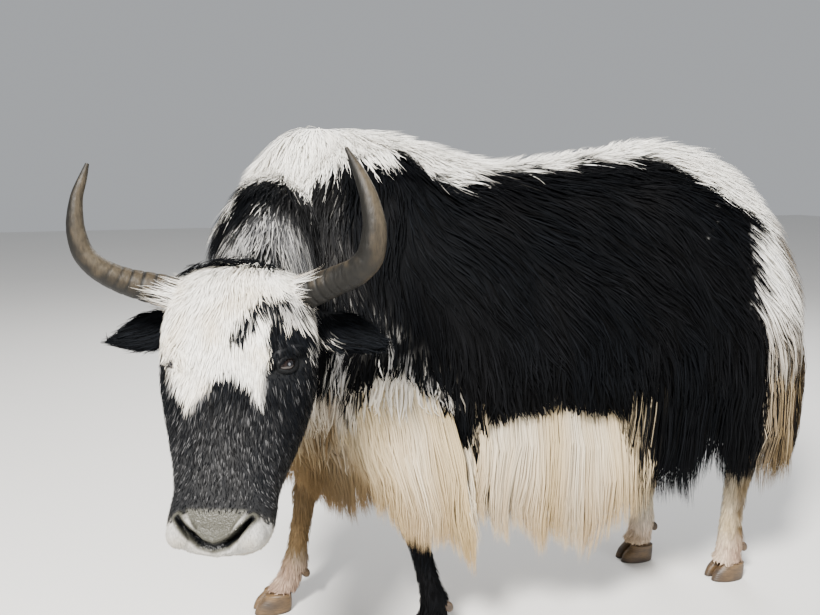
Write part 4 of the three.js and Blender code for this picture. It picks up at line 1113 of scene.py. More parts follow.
def tuft_colours(light, tint, dark, seed, tip_warmth, spread):
    """Each tuft is light or dark, by the share of light hair at its root. Returns root and tip colours,
    and 1 for each light tuft."""
    random = np.random.default_rng(seed)
    draw = random.random(len(light))
    whole = smooth(-0.12, 0.12, light - 0.12 - 0.76 * draw)
    bright = 1 + spread * random.normal(0, 1, (len(light), 1)).clip(-1.6, 1.6)
    light_colour = tint * bright.clip(0.6, 1.2)
    dark_colour = dark * (1 + 0.45 * random.normal(0, 1, (len(light), 1)).clip(-1.5, 2))
    base = mix(dark_colour, light_colour, whole)
    warmed = light_colour * (1 - tip_warmth + tip_warmth * CREAM / WHITE)
    tip = mix(dark_colour * 1.3, warmed, whole)
    return base.clip(0.001, 0.9), tip.clip(0.001, 0.9), whole


# Lie of the coat

# How far ahead the hair points along the trunk, for each mm that it falls.
TRUNK_LEAN = through([[-700, -0.55], [-300, -0.6], [200, -0.5], [420, -0.25], [560, 0.05], [700, 0.15]])
DOWN = np.array([0.0, 0.0, -1.0])


def along_skin(lie, normals):
    """The lie of hair without its part out of the skin."""
    return unit(lie - normals * dot(lie, normals)[:, None])


def body_flow(points, normals):
    """Back and down along the trunk, forwards over the nape, and aside from the ridge of the back."""
    x, y = points[:, 0], points[:, 1]
    top = smooth(0.2, 0.8, normals[:, 2])
    aside = np.tanh(y / 40) * 0.55 * top
    down = np.stack([TRUNK_LEAN(x), aside, -1 + 0.6 * top], -1)
    swirl = 0.55 * noise(points, 85, 41) + 0.3 * noise(points, 30, 42)
    return along_skin(down + np.cross(normals, down) * swirl[:, None], normals)


def neck_flow(points, normals):
    """The lie of the body's hair, which hangs more and more down the neck."""
    hang = smooth(950, 650, points[:, 2])[:, None]
    return unit(body_flow(points, normals) + 0.5 * DOWN * hang)


def leg_flow(points, normals):
    return along_skin(np.tile(DOWN, (len(points), 1)), normals)


def hem_flow(points, normals):
    return unit(body_flow(points, normals) * 0.4 + np.array([-0.08, 0, -1.0]))


def in_ear(local):
    return smooth(140, 165, np.abs(local[:, 0])) * (local[:, 1] < -60)


def head_flow(points, normals):
    """Down the face and a little outwards, and back over the cheeks."""
    local = to_head(points)
    s, d = local[:, 0], local[:, 2]
    outward = 0.35 * np.tanh(s / 60) * smooth(300, 60, d)
    back = -0.7 * smooth(0.1, 0.9, np.abs(normals @ HEAD_AXES[0]))
    lie = np.stack([outward, back, np.full(len(s), 1.0)], -1)
    lie = mix(lie, np.stack([np.sign(s), -0.1 + 0 * s, 0.35 + 0 * s], -1), in_ear(local))
    lie = lie + 0.35 * np.stack([noise(local, 26, 43), noise(local, 26, 44), 0 * s], -1)
    return along_skin(lie @ HEAD_AXES, normals)


def near_horns(local, s, d, across, along):
    """1 at a place beside each horn's root, and soft towards 0 round it."""
    return np.exp(-(((np.abs(local[:, 0]) - s) / across) ** 2 + ((local[:, 2] - d) / along) ** 2))


def fringe_flow(points, normals):
    """The lie of the face's hair, turned outwards along the horns' roots."""
    local = to_head(points)
    away = np.sign(local[:, :1]) * HEAD_AXES[0]
    return unit(head_flow(points, normals) + away * (1.1 * near_horns(local, 110, 40, 34, 34))[:, None])


# Coats of hair that lies along the skin. For each: the seed of its random numbers, its tufts and the
# segments of one, and the ranges of how steeply a tuft leaves the skin, of its height over the skin
# and of its width. Then how many tufts follow one leader and how closely, how far a tuft sways and
# how often, how fast it turns into the lie of the coat and how closely it keeps to the skin, and how
# warm its tip is and how uneven the light tufts are. The face's height and width are shares: of the
# tuft's length, and of a width that depends on the place along the face.
COATS = {
    "coat_trunk": {
        "seed": 100, "tufts": 19000, "segments": 3, "stand": (0.12, 0.32), "height": (6, 13),
        "width": (3, 5), "clump": (9, 0.5), "sway": (4, 0.8), "follow": (0.25, 1.0), "tips": (0.15, 0.16),
    },
    "coat_crest": {
        "seed": 110, "tufts": 7000, "segments": 4, "stand": (0.2, 0.55), "height": (12, 24),
        "width": (2.4, 4.2), "clump": (12, 0.55), "sway": (7, 0.9), "follow": (0.25, 1.0),
        "tips": (0.1, 0.08),
    },
    "coat_neck": {
        "seed": 120, "tufts": 7500, "segments": 4, "stand": (0.12, 0.35), "height": (7, 16),
        "width": (2.4, 4.2), "clump": (10, 0.6), "sway": (7, 0.9), "follow": (0.35, 0.7), "tips": (0.1, 0.1),
    },
    "coat_legs": {
        "seed": 130, "tufts": 6000, "segments": 2, "stand": (0.15, 0.35), "height": (2.5, 5),
        "width": (3.5, 5.5), "clump": (7, 0.5), "sway": None, "follow": (0.25, 1.0), "tips": (0.15, 0.16),
    },
    "face_coat": {
        "seed": 140, "tufts": 19000, "segments": 2, "stand": (0.1, 0.26), "height": (0.07, 0.15),
        "width": (0.8, 1.2), "clump": (6, 0.45), "sway": None, "follow": (0.25, 1.0), "tips": (0.1, 0.06),
    },
    "face_fringe": {
        "seed": 150, "tufts": 2400, "segments": 4, "stand": (0.2, 0.5), "height": (3, 8),
        "width": (1.8, 2.8), "clump": (8, 0.45), "sway": (3, 0.9), "follow": (0.4, 0.6), "tips": (0.1, 0.07),
    },
    "coat_hem": {
        "seed": 160, "tufts": 4300, "segments": 4, "stand": (0.1, 0.25), "height": (10, 20),
        "width": (4.5, 7), "clump": (11, 0.7), "sway": (6, 1.0), "follow": (0.45, 0.15), "tips": (0.15, 0.16),
    },
}
# The long coat ends at this height of the legs.
LONG_COAT_END = 372
# No hair of the legs comes lower than this.
LOWEST_LEG_HAIR = 26
HIGHEST_FACE_HAIR = 4


def scattered(name, surface, weight):
    """A coat's roots, their normals, and its random numbers."""
    coat = COATS[name]
    roots, normals = surface.scatter(coat["tufts"], weight, coat["seed"] + 1)
    return roots, normals, np.random.default_rng(coat["seed"] + 2)


def lay_coat(name, surface, roots, normals, flow, length, random, tone, bake,
             height_unit=1.0, highest=math.inf, width_unit=1.0, lowest=0.0):
    """Grows a coat of tufts with the given lengths, and makes its pieces."""
    coat = COATS[name]
    seed = coat["seed"]
    stand = random.uniform(*coat["stand"], len(roots))
    height = np.minimum(height_unit * random.uniform(*coat["height"], len(roots)), highest)
    width = width_unit * random.uniform(*coat["width"], len(roots))
    segments = coat["segments"]
    lines = lying_lines(surface, roots, normals, flow, length, segments, stand, height, *coat["follow"])
    lines[..., 2] = np.maximum(lines[..., 2], lowest)
    lines = clumped(lines, *coat["clump"], seed + 3)
    if coat["sway"]:
        lines = waved(lines, normals, *coat["sway"], seed + 4)
    base, tip = tuft_colours(*tone, seed + 5, *coat["tips"])[:2]
    coat_piece(name, lines, width, normals, base, tip, bake, seed + 6)


def above_light_hair(roots, length):
    """Dark hair over the light skirts is short enough to leave them bare."""
    x, z = roots[:, 0], roots[:, 2]
    border = light_border(x)
    over = (z > border) & (x > -190) & (x < 570)
    return np.where(over, np.minimum(length, np.maximum(z - border + 18, 28)), length)


def above_dark_hair(roots, length, random):
    """Light hair of the crest ends soon below its border."""
    above = roots[:, 2] - TOP_BORDER(roots[:, 0])
    return np.where(above > 0, np.minimum(length, above + random.uniform(24, 52, len(roots))), length)


def coat_trunk(surface):
    """The short coat of the trunk, also over the parts that longer hair hides."""
    middle = surface.middle
    body = ~surface.head & (middle[:, 2] >= LONG_COAT_END) & (middle[:, 0] > -790)
    local = to_head(middle)
    hidden = (local[:, 2] > 5) & (np.linalg.norm(local[:, :2] - np.array([0, -110]), axis=1) < 90)
    top = smooth(1040, 1150, middle[:, 2])
    weight = body * (1 + 0.7 * top) * np.where(middle[:, 2] < 520, 0.35, 1.0) * ~hidden
    roots, normals, random = scattered("coat_trunk", surface, weight)
    x, z = roots[:, 0], roots[:, 2]
    length = through([[400, 70], [560, 105], [700, 95], [900, 85], [1100, 80], [1200, 80]])(z)
    length = length * random.uniform(0.75, 1.25, len(roots)) * (1 + 0.35 * smooth(480, 620, x))
    length = above_dark_hair(roots, above_light_hair(roots, length), random)
    tone = body_tone(roots)
    lay_coat("coat_trunk", surface, roots, normals, body_flow, length, random, tone, bake_body(roots))


def coat_crest(surface):
    """The longer hair of the ridge, hump and nape, which falls to both sides."""
    middle = surface.middle
    above = middle[:, 2] - TOP_BORDER(middle[:, 0]) > -30
    weight = ~surface.head * above * (middle[:, 2] > 980) * (0.35 + smooth(250, 420, middle[:, 0]))
    roots, normals, random = scattered("coat_crest", surface, weight)
    length = random.uniform(70, 115, len(roots)) * (0.8 + 0.5 * smooth(350, 560, roots[:, 0]))
    length = above_dark_hair(roots, length, random)
    tone = body_tone(roots)
    lay_coat("coat_crest", surface, roots, normals, body_flow, length, random, tone, bake_body(roots))


def coat_neck(surface):
    """The hair of the neck, longer towards the throat."""
    middle = surface.middle
    weight = ~surface.head * (middle[:, 0] > 500) * (middle[:, 2] > 480) * smooth(470, 560, middle[:, 0])
    roots, normals, random = scattered("coat_neck", surface, weight)
    length = random.uniform(60, 95, len(roots)) * (1 + 0.9 * smooth(900, 620, roots[:, 2]))
    tone = body_tone(roots)
    lay_coat("coat_neck", surface, roots, normals, neck_flow, length, random, tone, bake_body(roots))


def coat_legs(surface):
    """The short hair of the lower legs."""
    middle = surface.middle
    weight = ~surface.head & (middle[:, 2] < 470) & (np.abs(middle[:, 1]) < 230)
    weight = weight * np.where(middle[:, 2] < 60, 0.6, 1.0)
    roots, normals, random = scattered("coat_legs", surface, weight)
    length = through([[50, 16], [100, 26], [250, 28], [400, 50]])(roots[:, 2])
    length = length * random.uniform(0.8, 1.25, len(roots))
    tone = body_tone(roots)
    lay_coat("coat_legs", surface, roots, normals, leg_flow, length, random, tone, bake_leg(roots),
             lowest=LOWEST_LEG_HAIR)


def coat_face(surface):
    """The short hair of the face, shortest at the nose and round the eyes, and of the ears."""
    local = to_head(surface.middle)
    bare = np.maximum(pad_share(local), (eyes_zone(local) < 1.45) | (fold_distance(local) < 3.5))
    weight = surface.head * (1 - bare) * (1 + 0.5 * smooth(-140, -60, local[:, 1]))
    roots, normals, random = scattered("face_coat", surface, weight)
    local = to_head(roots)
    n, d = local[:, 1], local[:, 2]
    length = through([[-10, 38], [60, 32], [200, 24], [300, 15], [400, 10], [450, 7]])(d)
    length = length * (1 + 0.9 * smooth(-90, -190, n)) * random.uniform(0.75, 1.25, len(roots))
    length = length * (1 + 0.3 * in_ear(local))
    length = length * (0.4 + 0.6 * smooth(1.6, 4.5, eyes_zone(local)))
    width = through([[-10, 2.4], [250, 2.0], [450, 1.5]])(d)
    tone = head_tone(local)
    lay_coat("face_coat", surface, roots, normals, head_flow, length, random, tone, bake_head(local),
             height_unit=length, highest=HIGHEST_FACE_HAIR, width_unit=width)


def coat_poll(surface):
    """The fringe between the horns, and the longer hair at their roots and in the ears."""
    local = to_head(surface.middle)
    poll = smooth(45, 15, local[:, 2]) * (local[:, 1] > -150)
    horn_root = near_horns(local, 96, 40, 30, 30) * ((local[:, 2] < 64) * (local[:, 1] > -95))
    ears = 1.6 * smooth(140, 160, np.abs(local[:, 0])) * (local[:, 1] < -60)
    roots, normals, random = scattered("face_fringe", surface, surface.head * (poll + horn_root + ears))
    local = to_head(roots)
    length = random.uniform(30, 58, len(roots)) * (1 - 0.4 * near_horns(local, 100, 44, 30, 34))
    tone = head_tone(local)
    lay_coat("face_fringe", surface, roots, normals, fringe_flow, length, random, tone, bake_head(local))


FRINGE_TUFTS = 250
# The top of the poll, as d over s: its height, its bend and its middle.
POLL_TOP = (-17, 0.0026, -12)
# Wisps of the fringe: the place of each across the poll and its spread, and their shares.
FRINGE_WISPS = np.array([[-82.0, 12.0], [-30.0, 15.0], [24.0, 17.0]])
FRINGE_SHARES = [0.16, 0.42, 0.42]


def poll_top(s):
    level, bend, middle = POLL_TOP
    return level + bend * (s - middle) ** 2


def coat_fringe():
    """Dark hair that lies across the top of the poll."""
    random = np.random.default_rng(171)
    middle, spread = FRINGE_WISPS[random.choice(len(FRINGE_WISPS), FRINGE_TUFTS, p=FRINGE_SHARES)].T
    s = middle + spread * random.normal(0, 1, FRINGE_TUFTS).clip(-1.8, 1.8)
    n = random.uniform(-46, -26, FRINGE_TUFTS)
    root = np.stack([s, n, poll_top(s) + random.uniform(-3, 6, FRINGE_TUFTS)], -1)
    reach = random.uniform(26, 62, FRINGE_TUFTS)
    t = np.linspace(0, 1, 5)[None, :]
    along = root[:, 0:1] + reach[:, None] * (t - 0.35)
    arch = -random.uniform(1, 7, FRINGE_TUFTS)[:, None] * np.sin(math.pi * np.clip(t * 1.1, 0, 1))
    stray = reach[:, None] * (t - 0.35) * random.normal(0.02, 0.22, (FRINGE_TUFTS, 1))
    down = poll_top(along) + (root[:, 2:3] - poll_top(s)[:, None]) + arch + stray
    lines = from_head(np.stack([along, root[:, 1:2] + 0 * t, down], -1))
    facing = np.tile(unit(HEAD_AXES[1] - 0.6 * HEAD_AXES[2]), (FRINGE_TUFTS, 1))
    lines = waved(lines, facing, 4, 0.8, 172)
    dark = np.tile(BLACK, (FRINGE_TUFTS, 1)) * random.uniform(0.8, 1.8, (FRINGE_TUFTS, 1))
    width = random.uniform(1.4, 2.6, FRINGE_TUFTS)
    coat_piece("face_poll", lines, width, facing, dark, dark, bake_head(root), 173)


HORN_HAIRS = 170


def coat_horn_roots():
    """Pale wisps that lie along the first part of each horn."""
    for number, side in enumerate(SIDES):
        random = np.random.default_rng(181 + number)
        at = horn_line(side)
        start = random.uniform(0.0, 0.05, HORN_HAIRS)
        angle = random.uniform(0, FULL_TURN, HORN_HAIRS)
        upper = np.cos(angle - math.pi / 2 * 0.5)
        reach = random.uniform(0.06, 0.12, HORN_HAIRS)
        reach = reach + 0.14 * np.clip(upper, 0, 1) * random.random(HORN_HAIRS)
        t = np.linspace(0, 1, 5)[None, :]
        share = start[:, None] + reach[:, None] * t
        row = at(share)
        across, other = round_axes(unit(at(share + 0.01)[..., :3] - at(share)[..., :3]))
        lift = 1.0 + random.uniform(2, 9, HORN_HAIRS)[:, None] * t ** 1.5
        turn = (angle[:, None] + random.normal(0, 0.35, HORN_HAIRS)[:, None] * t)[..., None]
        out = across * np.cos(turn) + other * np.sin(turn)
        lines = from_head(row[..., :3] + out * (row[..., 3] + lift)[..., None])
        facing = unit(lines[:, 2] - from_head(row[:, 2, :3]))
        local = to_head(lines[:, 0])
        pale = mix(WHITE, TAN, np.clip(0.15 + 0.5 * noise(local, 14, 39), 0, 0.7))
        width = random.uniform(1.1, 2.0, HORN_HAIRS)
        lines = waved(clumped(lines, 7, 0.5, 183 + number), facing, 3, 0.8, 185 + number)
        coat_piece(f"face_horn_{side}", lines, width, facing, pale, pale, bake_head(local), 187 + number)


# Long hair: each skirt has its line over the ground, the heights of its hem along that line, whether
# its light tufts start below the light hair's border, its lean, the height of its roots and its tufts.
SKIRTS = {
    "foreleg_left": {
        "line": [[536, 150], [515, 196], [450, 228], [380, 246], [300, 248], [236, 236]],
        "hem": [
            [0, 470], [0.2, 380], [0.38, 302], [0.55, 295], [0.66, 280], [0.76, 226], [0.88, 290], [1, 330],
        ],
        "bordered": True, "lean": 0.2, "top": 705, "count": 3200,
    },
    "foreleg_right": {
        "line": [[630, -120], [600, -176], [530, -218], [440, -240], [350, -246], [270, -240]],
        "hem": [[0, 430], [0.3, 365], [0.6, 300], [0.85, 270], [1, 290]],
        "bordered": False, "lean": 0.05, "top": 660, "count": 1300,
    },
    "flank_left": {
        "line": [[236, 246], [120, 252], [60, 252], [-60, 252], [-180, 250], [-330, 246]],
        "hem": [[0, 330], [0.15, 290], [0.4, 246], [0.6, 236], [0.8, 292], [1, 330]],
        "bordered": True, "lean": 0.0, "top": 690, "count": 3300,
    },
    "flank_right": {
        "line": [[270, -246], [100, -252], [-30, -252], [-150, -250], [-290, -246]],
        "hem": [[0, 320], [0.2, 275], [0.45, 245], [0.65, 250], [0.85, 300], [1, 330]],
        "bordered": True, "lean": 0.0, "top": 690, "count": 2200,
    },
    "hindleg_left": {
        "line": [[-330, 252], [-450, 258], [-560, 246], [-650, 210], [-708, 148], [-736, 72]],
        "hem": [[0, 370], [0.3, 340], [0.6, 325], [0.85, 340], [1, 380]],
        "bordered": False, "lean": 0.0, "top": 690, "count": 2100,
    },
    "hindleg_right": {
        "line": [[-290, -252], [-450, -258], [-560, -246], [-650, -210], [-708, -148], [-736, -72]],
        "hem": [[0, 365], [0.3, 340], [0.6, 330], [0.85, 345], [1, 385]],
        "bordered": False, "lean": 0.0, "top": 690, "count": 1500,
    },
    "brisket": {
        "line": [[668, -110], [732, -55], [752, 20], [722, 96], [650, 170]],
        "hem": [[0, 440], [0.4, 395], [0.7, 410], [1, 470]],
        "bordered": False, "lean": 0.0, "top": 700, "count": 1200,
    },
    "foreleg_right_inner": {
        "line": [[650, -46], [600, -66], [540, -84], [480, -96], [405, -104]],
        "hem": [[0, 400], [0.35, 292], [0.7, 235], [1, 262]],
        "bordered": False, "lean": 0.08, "top": 600, "count": 1500,
    },
}
SKIRT_SEGMENTS = 4
# The height that a skirt takes its markings from, the height of its lowest outer roots, and how far
# its innermost tufts hang inside its line.
SKIRT_MARK = 556
SKIRT_ROOTS = 560
SKIRT_DEPTH = 46


def skirt_drift(lines):
    """Slow wanderings that neighbouring tufts share."""
    flat = lines.reshape(-1, 3)
    ahead = 15 * noise(flat, 75, 64) + 6 * noise(flat, 32, 65)
    aside = 7 * noise(flat, 60, 66)
    return np.stack([ahead, aside, 0 * ahead], -1).reshape(lines.shape)


def coat_skirts(surface):
    """Long locks that leave the skin, settle over the skirt's line and hang to its hem."""
    for number, (name, skirt) in enumerate(SKIRTS.items()):
        random = np.random.default_rng(200 + number)
        count = skirt["count"]
        share = np.sort(random.random(count))
        depth = random.random(count) ** 1.4
        over = along_rows(skirt["line"])(share)
        middle_x = skirt["line"][len(skirt["line"]) // 2][0]
        inward = unit(np.stack([0.15 * (middle_x - over[:, 0]), -over[:, 1]], -1))
        over = over + inward * (SKIRT_DEPTH * depth)[:, None] + random.normal(0, 5, (count, 2))
        start = SKIRT_ROOTS + (skirt["top"] - SKIRT_ROOTS) * random.random(count) ** 0.8 - 30 * depth
        mark = np.concatenate([over, np.minimum(start, SKIRT_MARK)[:, None]], 1)
        border = light_border(over[:, 0])
        if skirt["bordered"]:
            mark[:, 2] = np.minimum(mark[:, 2], border - 25)
        light, tint, dark = body_tone(mark)
        base, tip, whole = tuft_colours(light, tint, dark, 260 + number, 0.6, 0.07)
        border = np.maximum(border, 480) - random.uniform(0, 34, count)
        start = np.where((whole > 0.5) & skirt["bordered"], np.minimum(start, border), start)
        guess = np.concatenate([over, start[:, None]], 1)
        roots, out = surface.nearest(guess)
        roots = roots - out * 3
        uneven = random.normal(0, 13, count) + 30 * noise(guess * np.array([1, 1, 0]), 42, 61)
        end = through(skirt["hem"])(share) + 40 * depth + uneven

        t = np.linspace(0, 1, SKIRT_SEGMENTS + 1)[None, :]
        drop = roots[:, 2:3] + (end[:, None] - roots[:, 2:3]) * t
        settle = smooth(0, 0.42, t)
        lean = -skirt["lean"] * np.maximum(start[:, None] - drop, 0)
        place_x = roots[:, 0:1] + (over[:, 0:1] - roots[:, 0:1]) * settle + lean
        bulge = 10 * np.sin(math.pi * np.clip(t * 1.6, 0, 1))
        place_y = roots[:, 1:2] + (over[:, 1:2] - roots[:, 1:2]) * settle + np.sign(over[:, 1:2]) * bulge
        lines = np.stack([place_x, place_y, drop], -1)
        facing = unit(np.stack([0 * share, np.sign(over[:, 1]), 0 * share], -1) + 0.4 * out)
        if name == "brisket":
            facing = unit(out * np.array([1, 1, 0]) + np.array([0.5, 0, 0]))
        lines = clumped(lines, 16, 0.66, 220 + number)
        lines = waved(lines, facing, 5, 0.9, 240 + number)
        lines = lines + skirt_drift(lines) * smooth(0, 0.5, t)[..., None]

        warm = np.clip(0.5 + 0.5 * noise(mark * np.array([1, 1, 0]), 34, 62), 0, 1) * light
        rear = smooth(-450, -600, over[:, 0])
        tip = mix(tip, mix(TAN * 0.9, TAN * 0.4, rear), warm * 0.9 * whole)
        base = mix(base, CREAM * 0.9, warm * 0.7 * whole * (1 - rear))
        width = random.uniform(2.6, 4.6, count)
        coat_piece(f"coat_{name}", lines, width, facing, base, tip, bake_body(mark), 280 + number)


TAIL_TUFTS = 3800
# The roots lie on the first part of the tail's line, and inside this share of its thickness.
TAIL_ROOT_SHARE = 0.62
TAIL_CORE_SHARE = 0.375


def coat_tail():
    """Long hair round the tail's own line, inside its outline."""
    random = np.random.default_rng(301)
    start = random.random(TAIL_TUFTS) ** 1.1 * TAIL_ROOT_SHARE
    reach = np.minimum(start + random.uniform(0.3, 0.55, TAIL_TUFTS), random.uniform(0.86, 1.0, TAIL_TUFTS))
    angle = random.random(TAIL_TUFTS) * FULL_TURN
    t = np.linspace(0, 1, 6)[None, :]
    share = start[:, None] + (reach - start)[:, None] * t
    middle, aside, up, tall, wide = line_frame(along_rows(TAIL_ROWS), share)
    outmost = random.uniform(0.4, 1.0, TAIL_TUFTS)[:, None]
    out = TAIL_CORE_SHARE + (outmost - TAIL_CORE_SHARE) * smooth(0, 0.55, t)
    turn = angle[:, None] + 0.35 * np.sin(3 * share + angle[:, None])
    lines = middle + up * (tall * np.cos(turn)[..., None] * out[..., None])
    lines = lines + aside * (wide * np.sin(turn)[..., None] * out[..., None])
    facing = unit(lines[:, 3] - middle[:, 3])
    lines = waved(clumped(lines, 14, 0.7, 302), facing, 7, 1.4, 303)
    streak = noise(np.stack([angle * 30, 0 * angle, start * 200], -1), 14, 63)
    light = np.clip(0.45 * smooth(0.5, 0.05, start + 0.25 * streak) + 0.32, 0, 0.9)
    tint = mix(WHITE, CREAM, smooth(0.02, 0.2, start))
    tint = mix(tint, TAN * 0.34, np.clip(0.7 + 0.6 * streak, 0, 1) * smooth(0.02, 0.16, start))
    dark = mix(BLACK, BROWN, np.clip(0.5 + streak, 0, 1))
    base, tip = tuft_colours(light, tint, dark, 304, 0.5, 0.16)[:2]
    width = random.uniform(4, 7, TAIL_TUFTS)
    coat_piece("coat_tail", lines, width, facing, base, tip, bake_tail(start, angle), 305)


def coat_thigh(surface):
    """Longer dark hair over the lower flank and thigh, which hides the tops of the skirts."""
    middle = surface.middle
    band = smooth(500, 560, middle[:, 2]) * smooth(800, 720, middle[:, 2])
    weight = ~surface.head * band * (np.abs(middle[:, 1]) > 90)
    roots, normals, random = scattered("coat_hem", surface, weight)
    hind = smooth(-150, -260, roots[:, 0])
    length = above_light_hair(roots, random.uniform(80, 125, len(roots)) * (1 + 0.5 * hind))
    tone = body_tone(roots)
    lay_coat("coat_hem", surface, roots, normals, hem_flow, length, random, tone, bake_body(roots))


# Horns, eyes and hooves

def coloured_piece(name, shells, node, kind, values):
    """A piece that replaces one node, with its colours and values for each vertex. Its kind names its
    slot and its material."""
    obj = mesh_object(name, shells)
    for title, value in values.items():
        if value.ndim == 2:
            set_colours(obj.data, title, value)
        else:
            set_values(obj.data, title, value)
    obj.data.materials.append(MATERIALS[kind])
    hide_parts(node)
    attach(obj, "root")


HORN_STATIONS = 170
HORN_SIDES = 40
HORN_BASE = np.array([0.032, 0.024, 0.014])
HORN_DARK = np.array([0.0040, 0.0036, 0.0028])
# Painted light on the side of a horn that faces away from HORN_SHADED.
HORN_PAINTED_LIGHT = np.array([0.080, 0.066, 0.045])
HORN_RINGS = 22


# The side of a horn that is darkest, with painted shade, faces this way, in the head's frame.
HORN_SHADED = unit(np.array([-0.8, -0.2, 0.5]))


def round_axes(ahead):
    """Two axes across a direction in the head's frame."""
    across = unit(np.cross(np.array([0.0, 1.0, 0.0]), ahead))
    return across, np.cross(ahead, across)


def horn(side):
    """Rings near the root, one side darkened with painted shade and the opposite side lightened with painted
    light.
    """
    at = horn_line(side)
    share, angle = ring_grid(np.linspace(0, 1, HORN_STATIONS), HORN_SIDES)
    row = at(share)
    across, other = round_axes(direction_along(at, share))
    turns = FULL_TURN * HORN_RINGS * share ** 0.9 + 0.7 * np.sin(angle)
    uneven = 0.8 * noise(np.stack([share * 40, angle, angle], -1), 3, 74)
    groove = smooth(0.45, 0.95, np.sin(turns + uneven))
    rings = -0.045 * groove * smooth(0.5, 0.12, share)
    seed_place = np.stack([np.cos(angle) * 4, np.sin(angle) * 4, share * 60], -1)
    rough = 0.018 * noise(seed_place, 1.4, 71 + SIDES[side])
    radius = row[..., 3] * (1 + rings + rough) * np.where(share < 0.02, 0.98, 1)
    points = row[..., :3] + across * (radius * np.cos(angle))[..., None]
    points = points + other * (radius * np.sin(angle))[..., None]
    # Painted shade towards HORN_SHADED, mixed with the horn's own uneven tone, and painted light on the
    # opposite side.
    outward = dot(across * np.cos(angle)[..., None] + other * np.sin(angle)[..., None], HORN_SHADED)
    colour = mix(HORN_BASE, HORN_DARK, smooth(-0.55, 0.45, outward + 0.35 * noise(seed_place, 2.2, 73)))
    colour = mix(colour, HORN_PAINTED_LIGHT, 0.4 * smooth(-0.1, -0.9, outward) * smooth(0.15, 0.5, share))
    colour = mix(colour, HORN_DARK, 0.7 * smooth(0.86, 0.97, share))
    colour = mix(colour, HORN_DARK * 0.6, 0.97 * groove * smooth(0.42, 0.22, share))
    values = {"tone": colour.reshape(-1, 3), "along": share.ravel()}
    coloured_piece(f"horn_{side}_shaft", [loft(from_head(points))], f"horn_{side}", "horn", values)


EYE_GAP = 0.6
PUPIL_HALF = (0.42, 0.2)
EYE_RIM_TONE = np.array([0.014, 0.010, 0.009])
IRIS_TONE = np.array([0.009, 0.0045, 0.003])
PUPIL_TONE = np.array([0.002, 0.002, 0.003])


def eye(side):
    """A ball whose pole looks out of the slit, with a flatter pupil and a swollen cornea."""
    out, along, up = slit_axes(SIDES[side])
    turn, angle = ring_grid(np.linspace(0.01, math.pi - 0.01, 48), 64)
    radius = EYE_RADIUS - EYE_GAP + np.exp(-(turn / 0.55) ** 4)
    direction = out * np.cos(turn)[..., None]
    direction = direction + along * (np.sin(turn) * np.cos(angle))[..., None]
    direction = direction + up * (np.sin(turn) * np.sin(angle))[..., None]
    points = EYE_PLACE * np.array([SIDES[side], 1, 1]) + direction * radius[..., None]
    wide = np.abs(np.sin(turn) * np.cos(angle)) / PUPIL_HALF[0]
    tall = np.abs(np.sin(turn) * np.sin(angle)) / PUPIL_HALF[1]
    pupil = smooth(1.15, 0.85, np.sqrt(wide ** 2 + tall ** 2))
    iris = smooth(0.86, 0.74, turn)
    ray = noise(np.stack([np.cos(angle) * 9, np.sin(angle) * 9, turn * 2], -1), 1.0, 81)
    tone = mix(EYE_RIM_TONE, IRIS_TONE * (1 + 0.5 * ray)[..., None], iris)
    tone = mix(tone, PUPIL_TONE, pupil).reshape(-1, 3)
    coloured_piece(f"eye_{side}_ball", [loft(from_head(points))], f"eye_{side}", "eye", {"tone": tone})


# Rows of a claw's height, its share of the sole's size there and how far it is shifted along X.
CLAW_HEIGHT = 48
CLAW_LEVELS = [[0, 1, 0], [4, 1.0, -1], [22, 0.94, -5], [CLAW_HEIGHT, 0.7, -14]]
GROWTH_LINE = 5.2
CLAW_HALF = 18.5
CLAW_SPACING = 41
CLAW_TOE = 54
CLAW_HEEL = 40
HOOF_TONE = np.array([0.105, 0.062, 0.026])
HOOF_DARK = np.array([0.035, 0.023, 0.015])


def claw_rings(spec, side):
    """One claw with growth lines: a flat sole, a steep front wall and a low heel."""
    height, angle = ring_grid(np.linspace(0, CLAW_HEIGHT, 40), 48)
    share = through([[level[0], level[1]] for level in CLAW_LEVELS])(height)
    back = through([[level[0], level[2]] for level in CLAW_LEVELS])(height)
    ripple = np.sin(FULL_TURN * height / GROWTH_LINE + 0.8 * np.sin(angle))
    share = share * (1 + 0.012 * ripple * smooth(0, 4, height))
    ahead = np.cos(angle)
    length = np.where(ahead > 0, CLAW_TOE, CLAW_HEEL) * ahead
    inward = np.where(ahead > 0, side * 6 * ahead * ahead, 0)
    aside = CLAW_HALF * bent(np.sin(angle), 0.8)
    return np.stack([
        spec["hoof"][0] + share * length + back,
        spec["hoof"][1] + side * CLAW_SPACING / 2 + (0.75 + 0.25 * share) * aside - inward,
        height,
    ], -1)


def claw(spec, side, node):
    """A claw, darker in spots and at its sole and paler at its crown."""
    rings = claw_rings(spec, side)
    height = rings[..., 2].ravel()
    tone = mix(HOOF_TONE, HOOF_DARK, np.clip(0.45 + 0.7 * noise(rings.reshape(-1, 3), 26, 91), 0, 1))
    tone = mix(tone, HOOF_DARK * 0.6, 0.7 * smooth(9, 0, height))
    tone = mix(tone, HOOF_TONE * 1.5, 0.5 * smooth(34, CLAW_HEIGHT, height))
    coloured_piece(f"{node}_wall", [loft(rings)], node, "hoof", {"tone": tone})


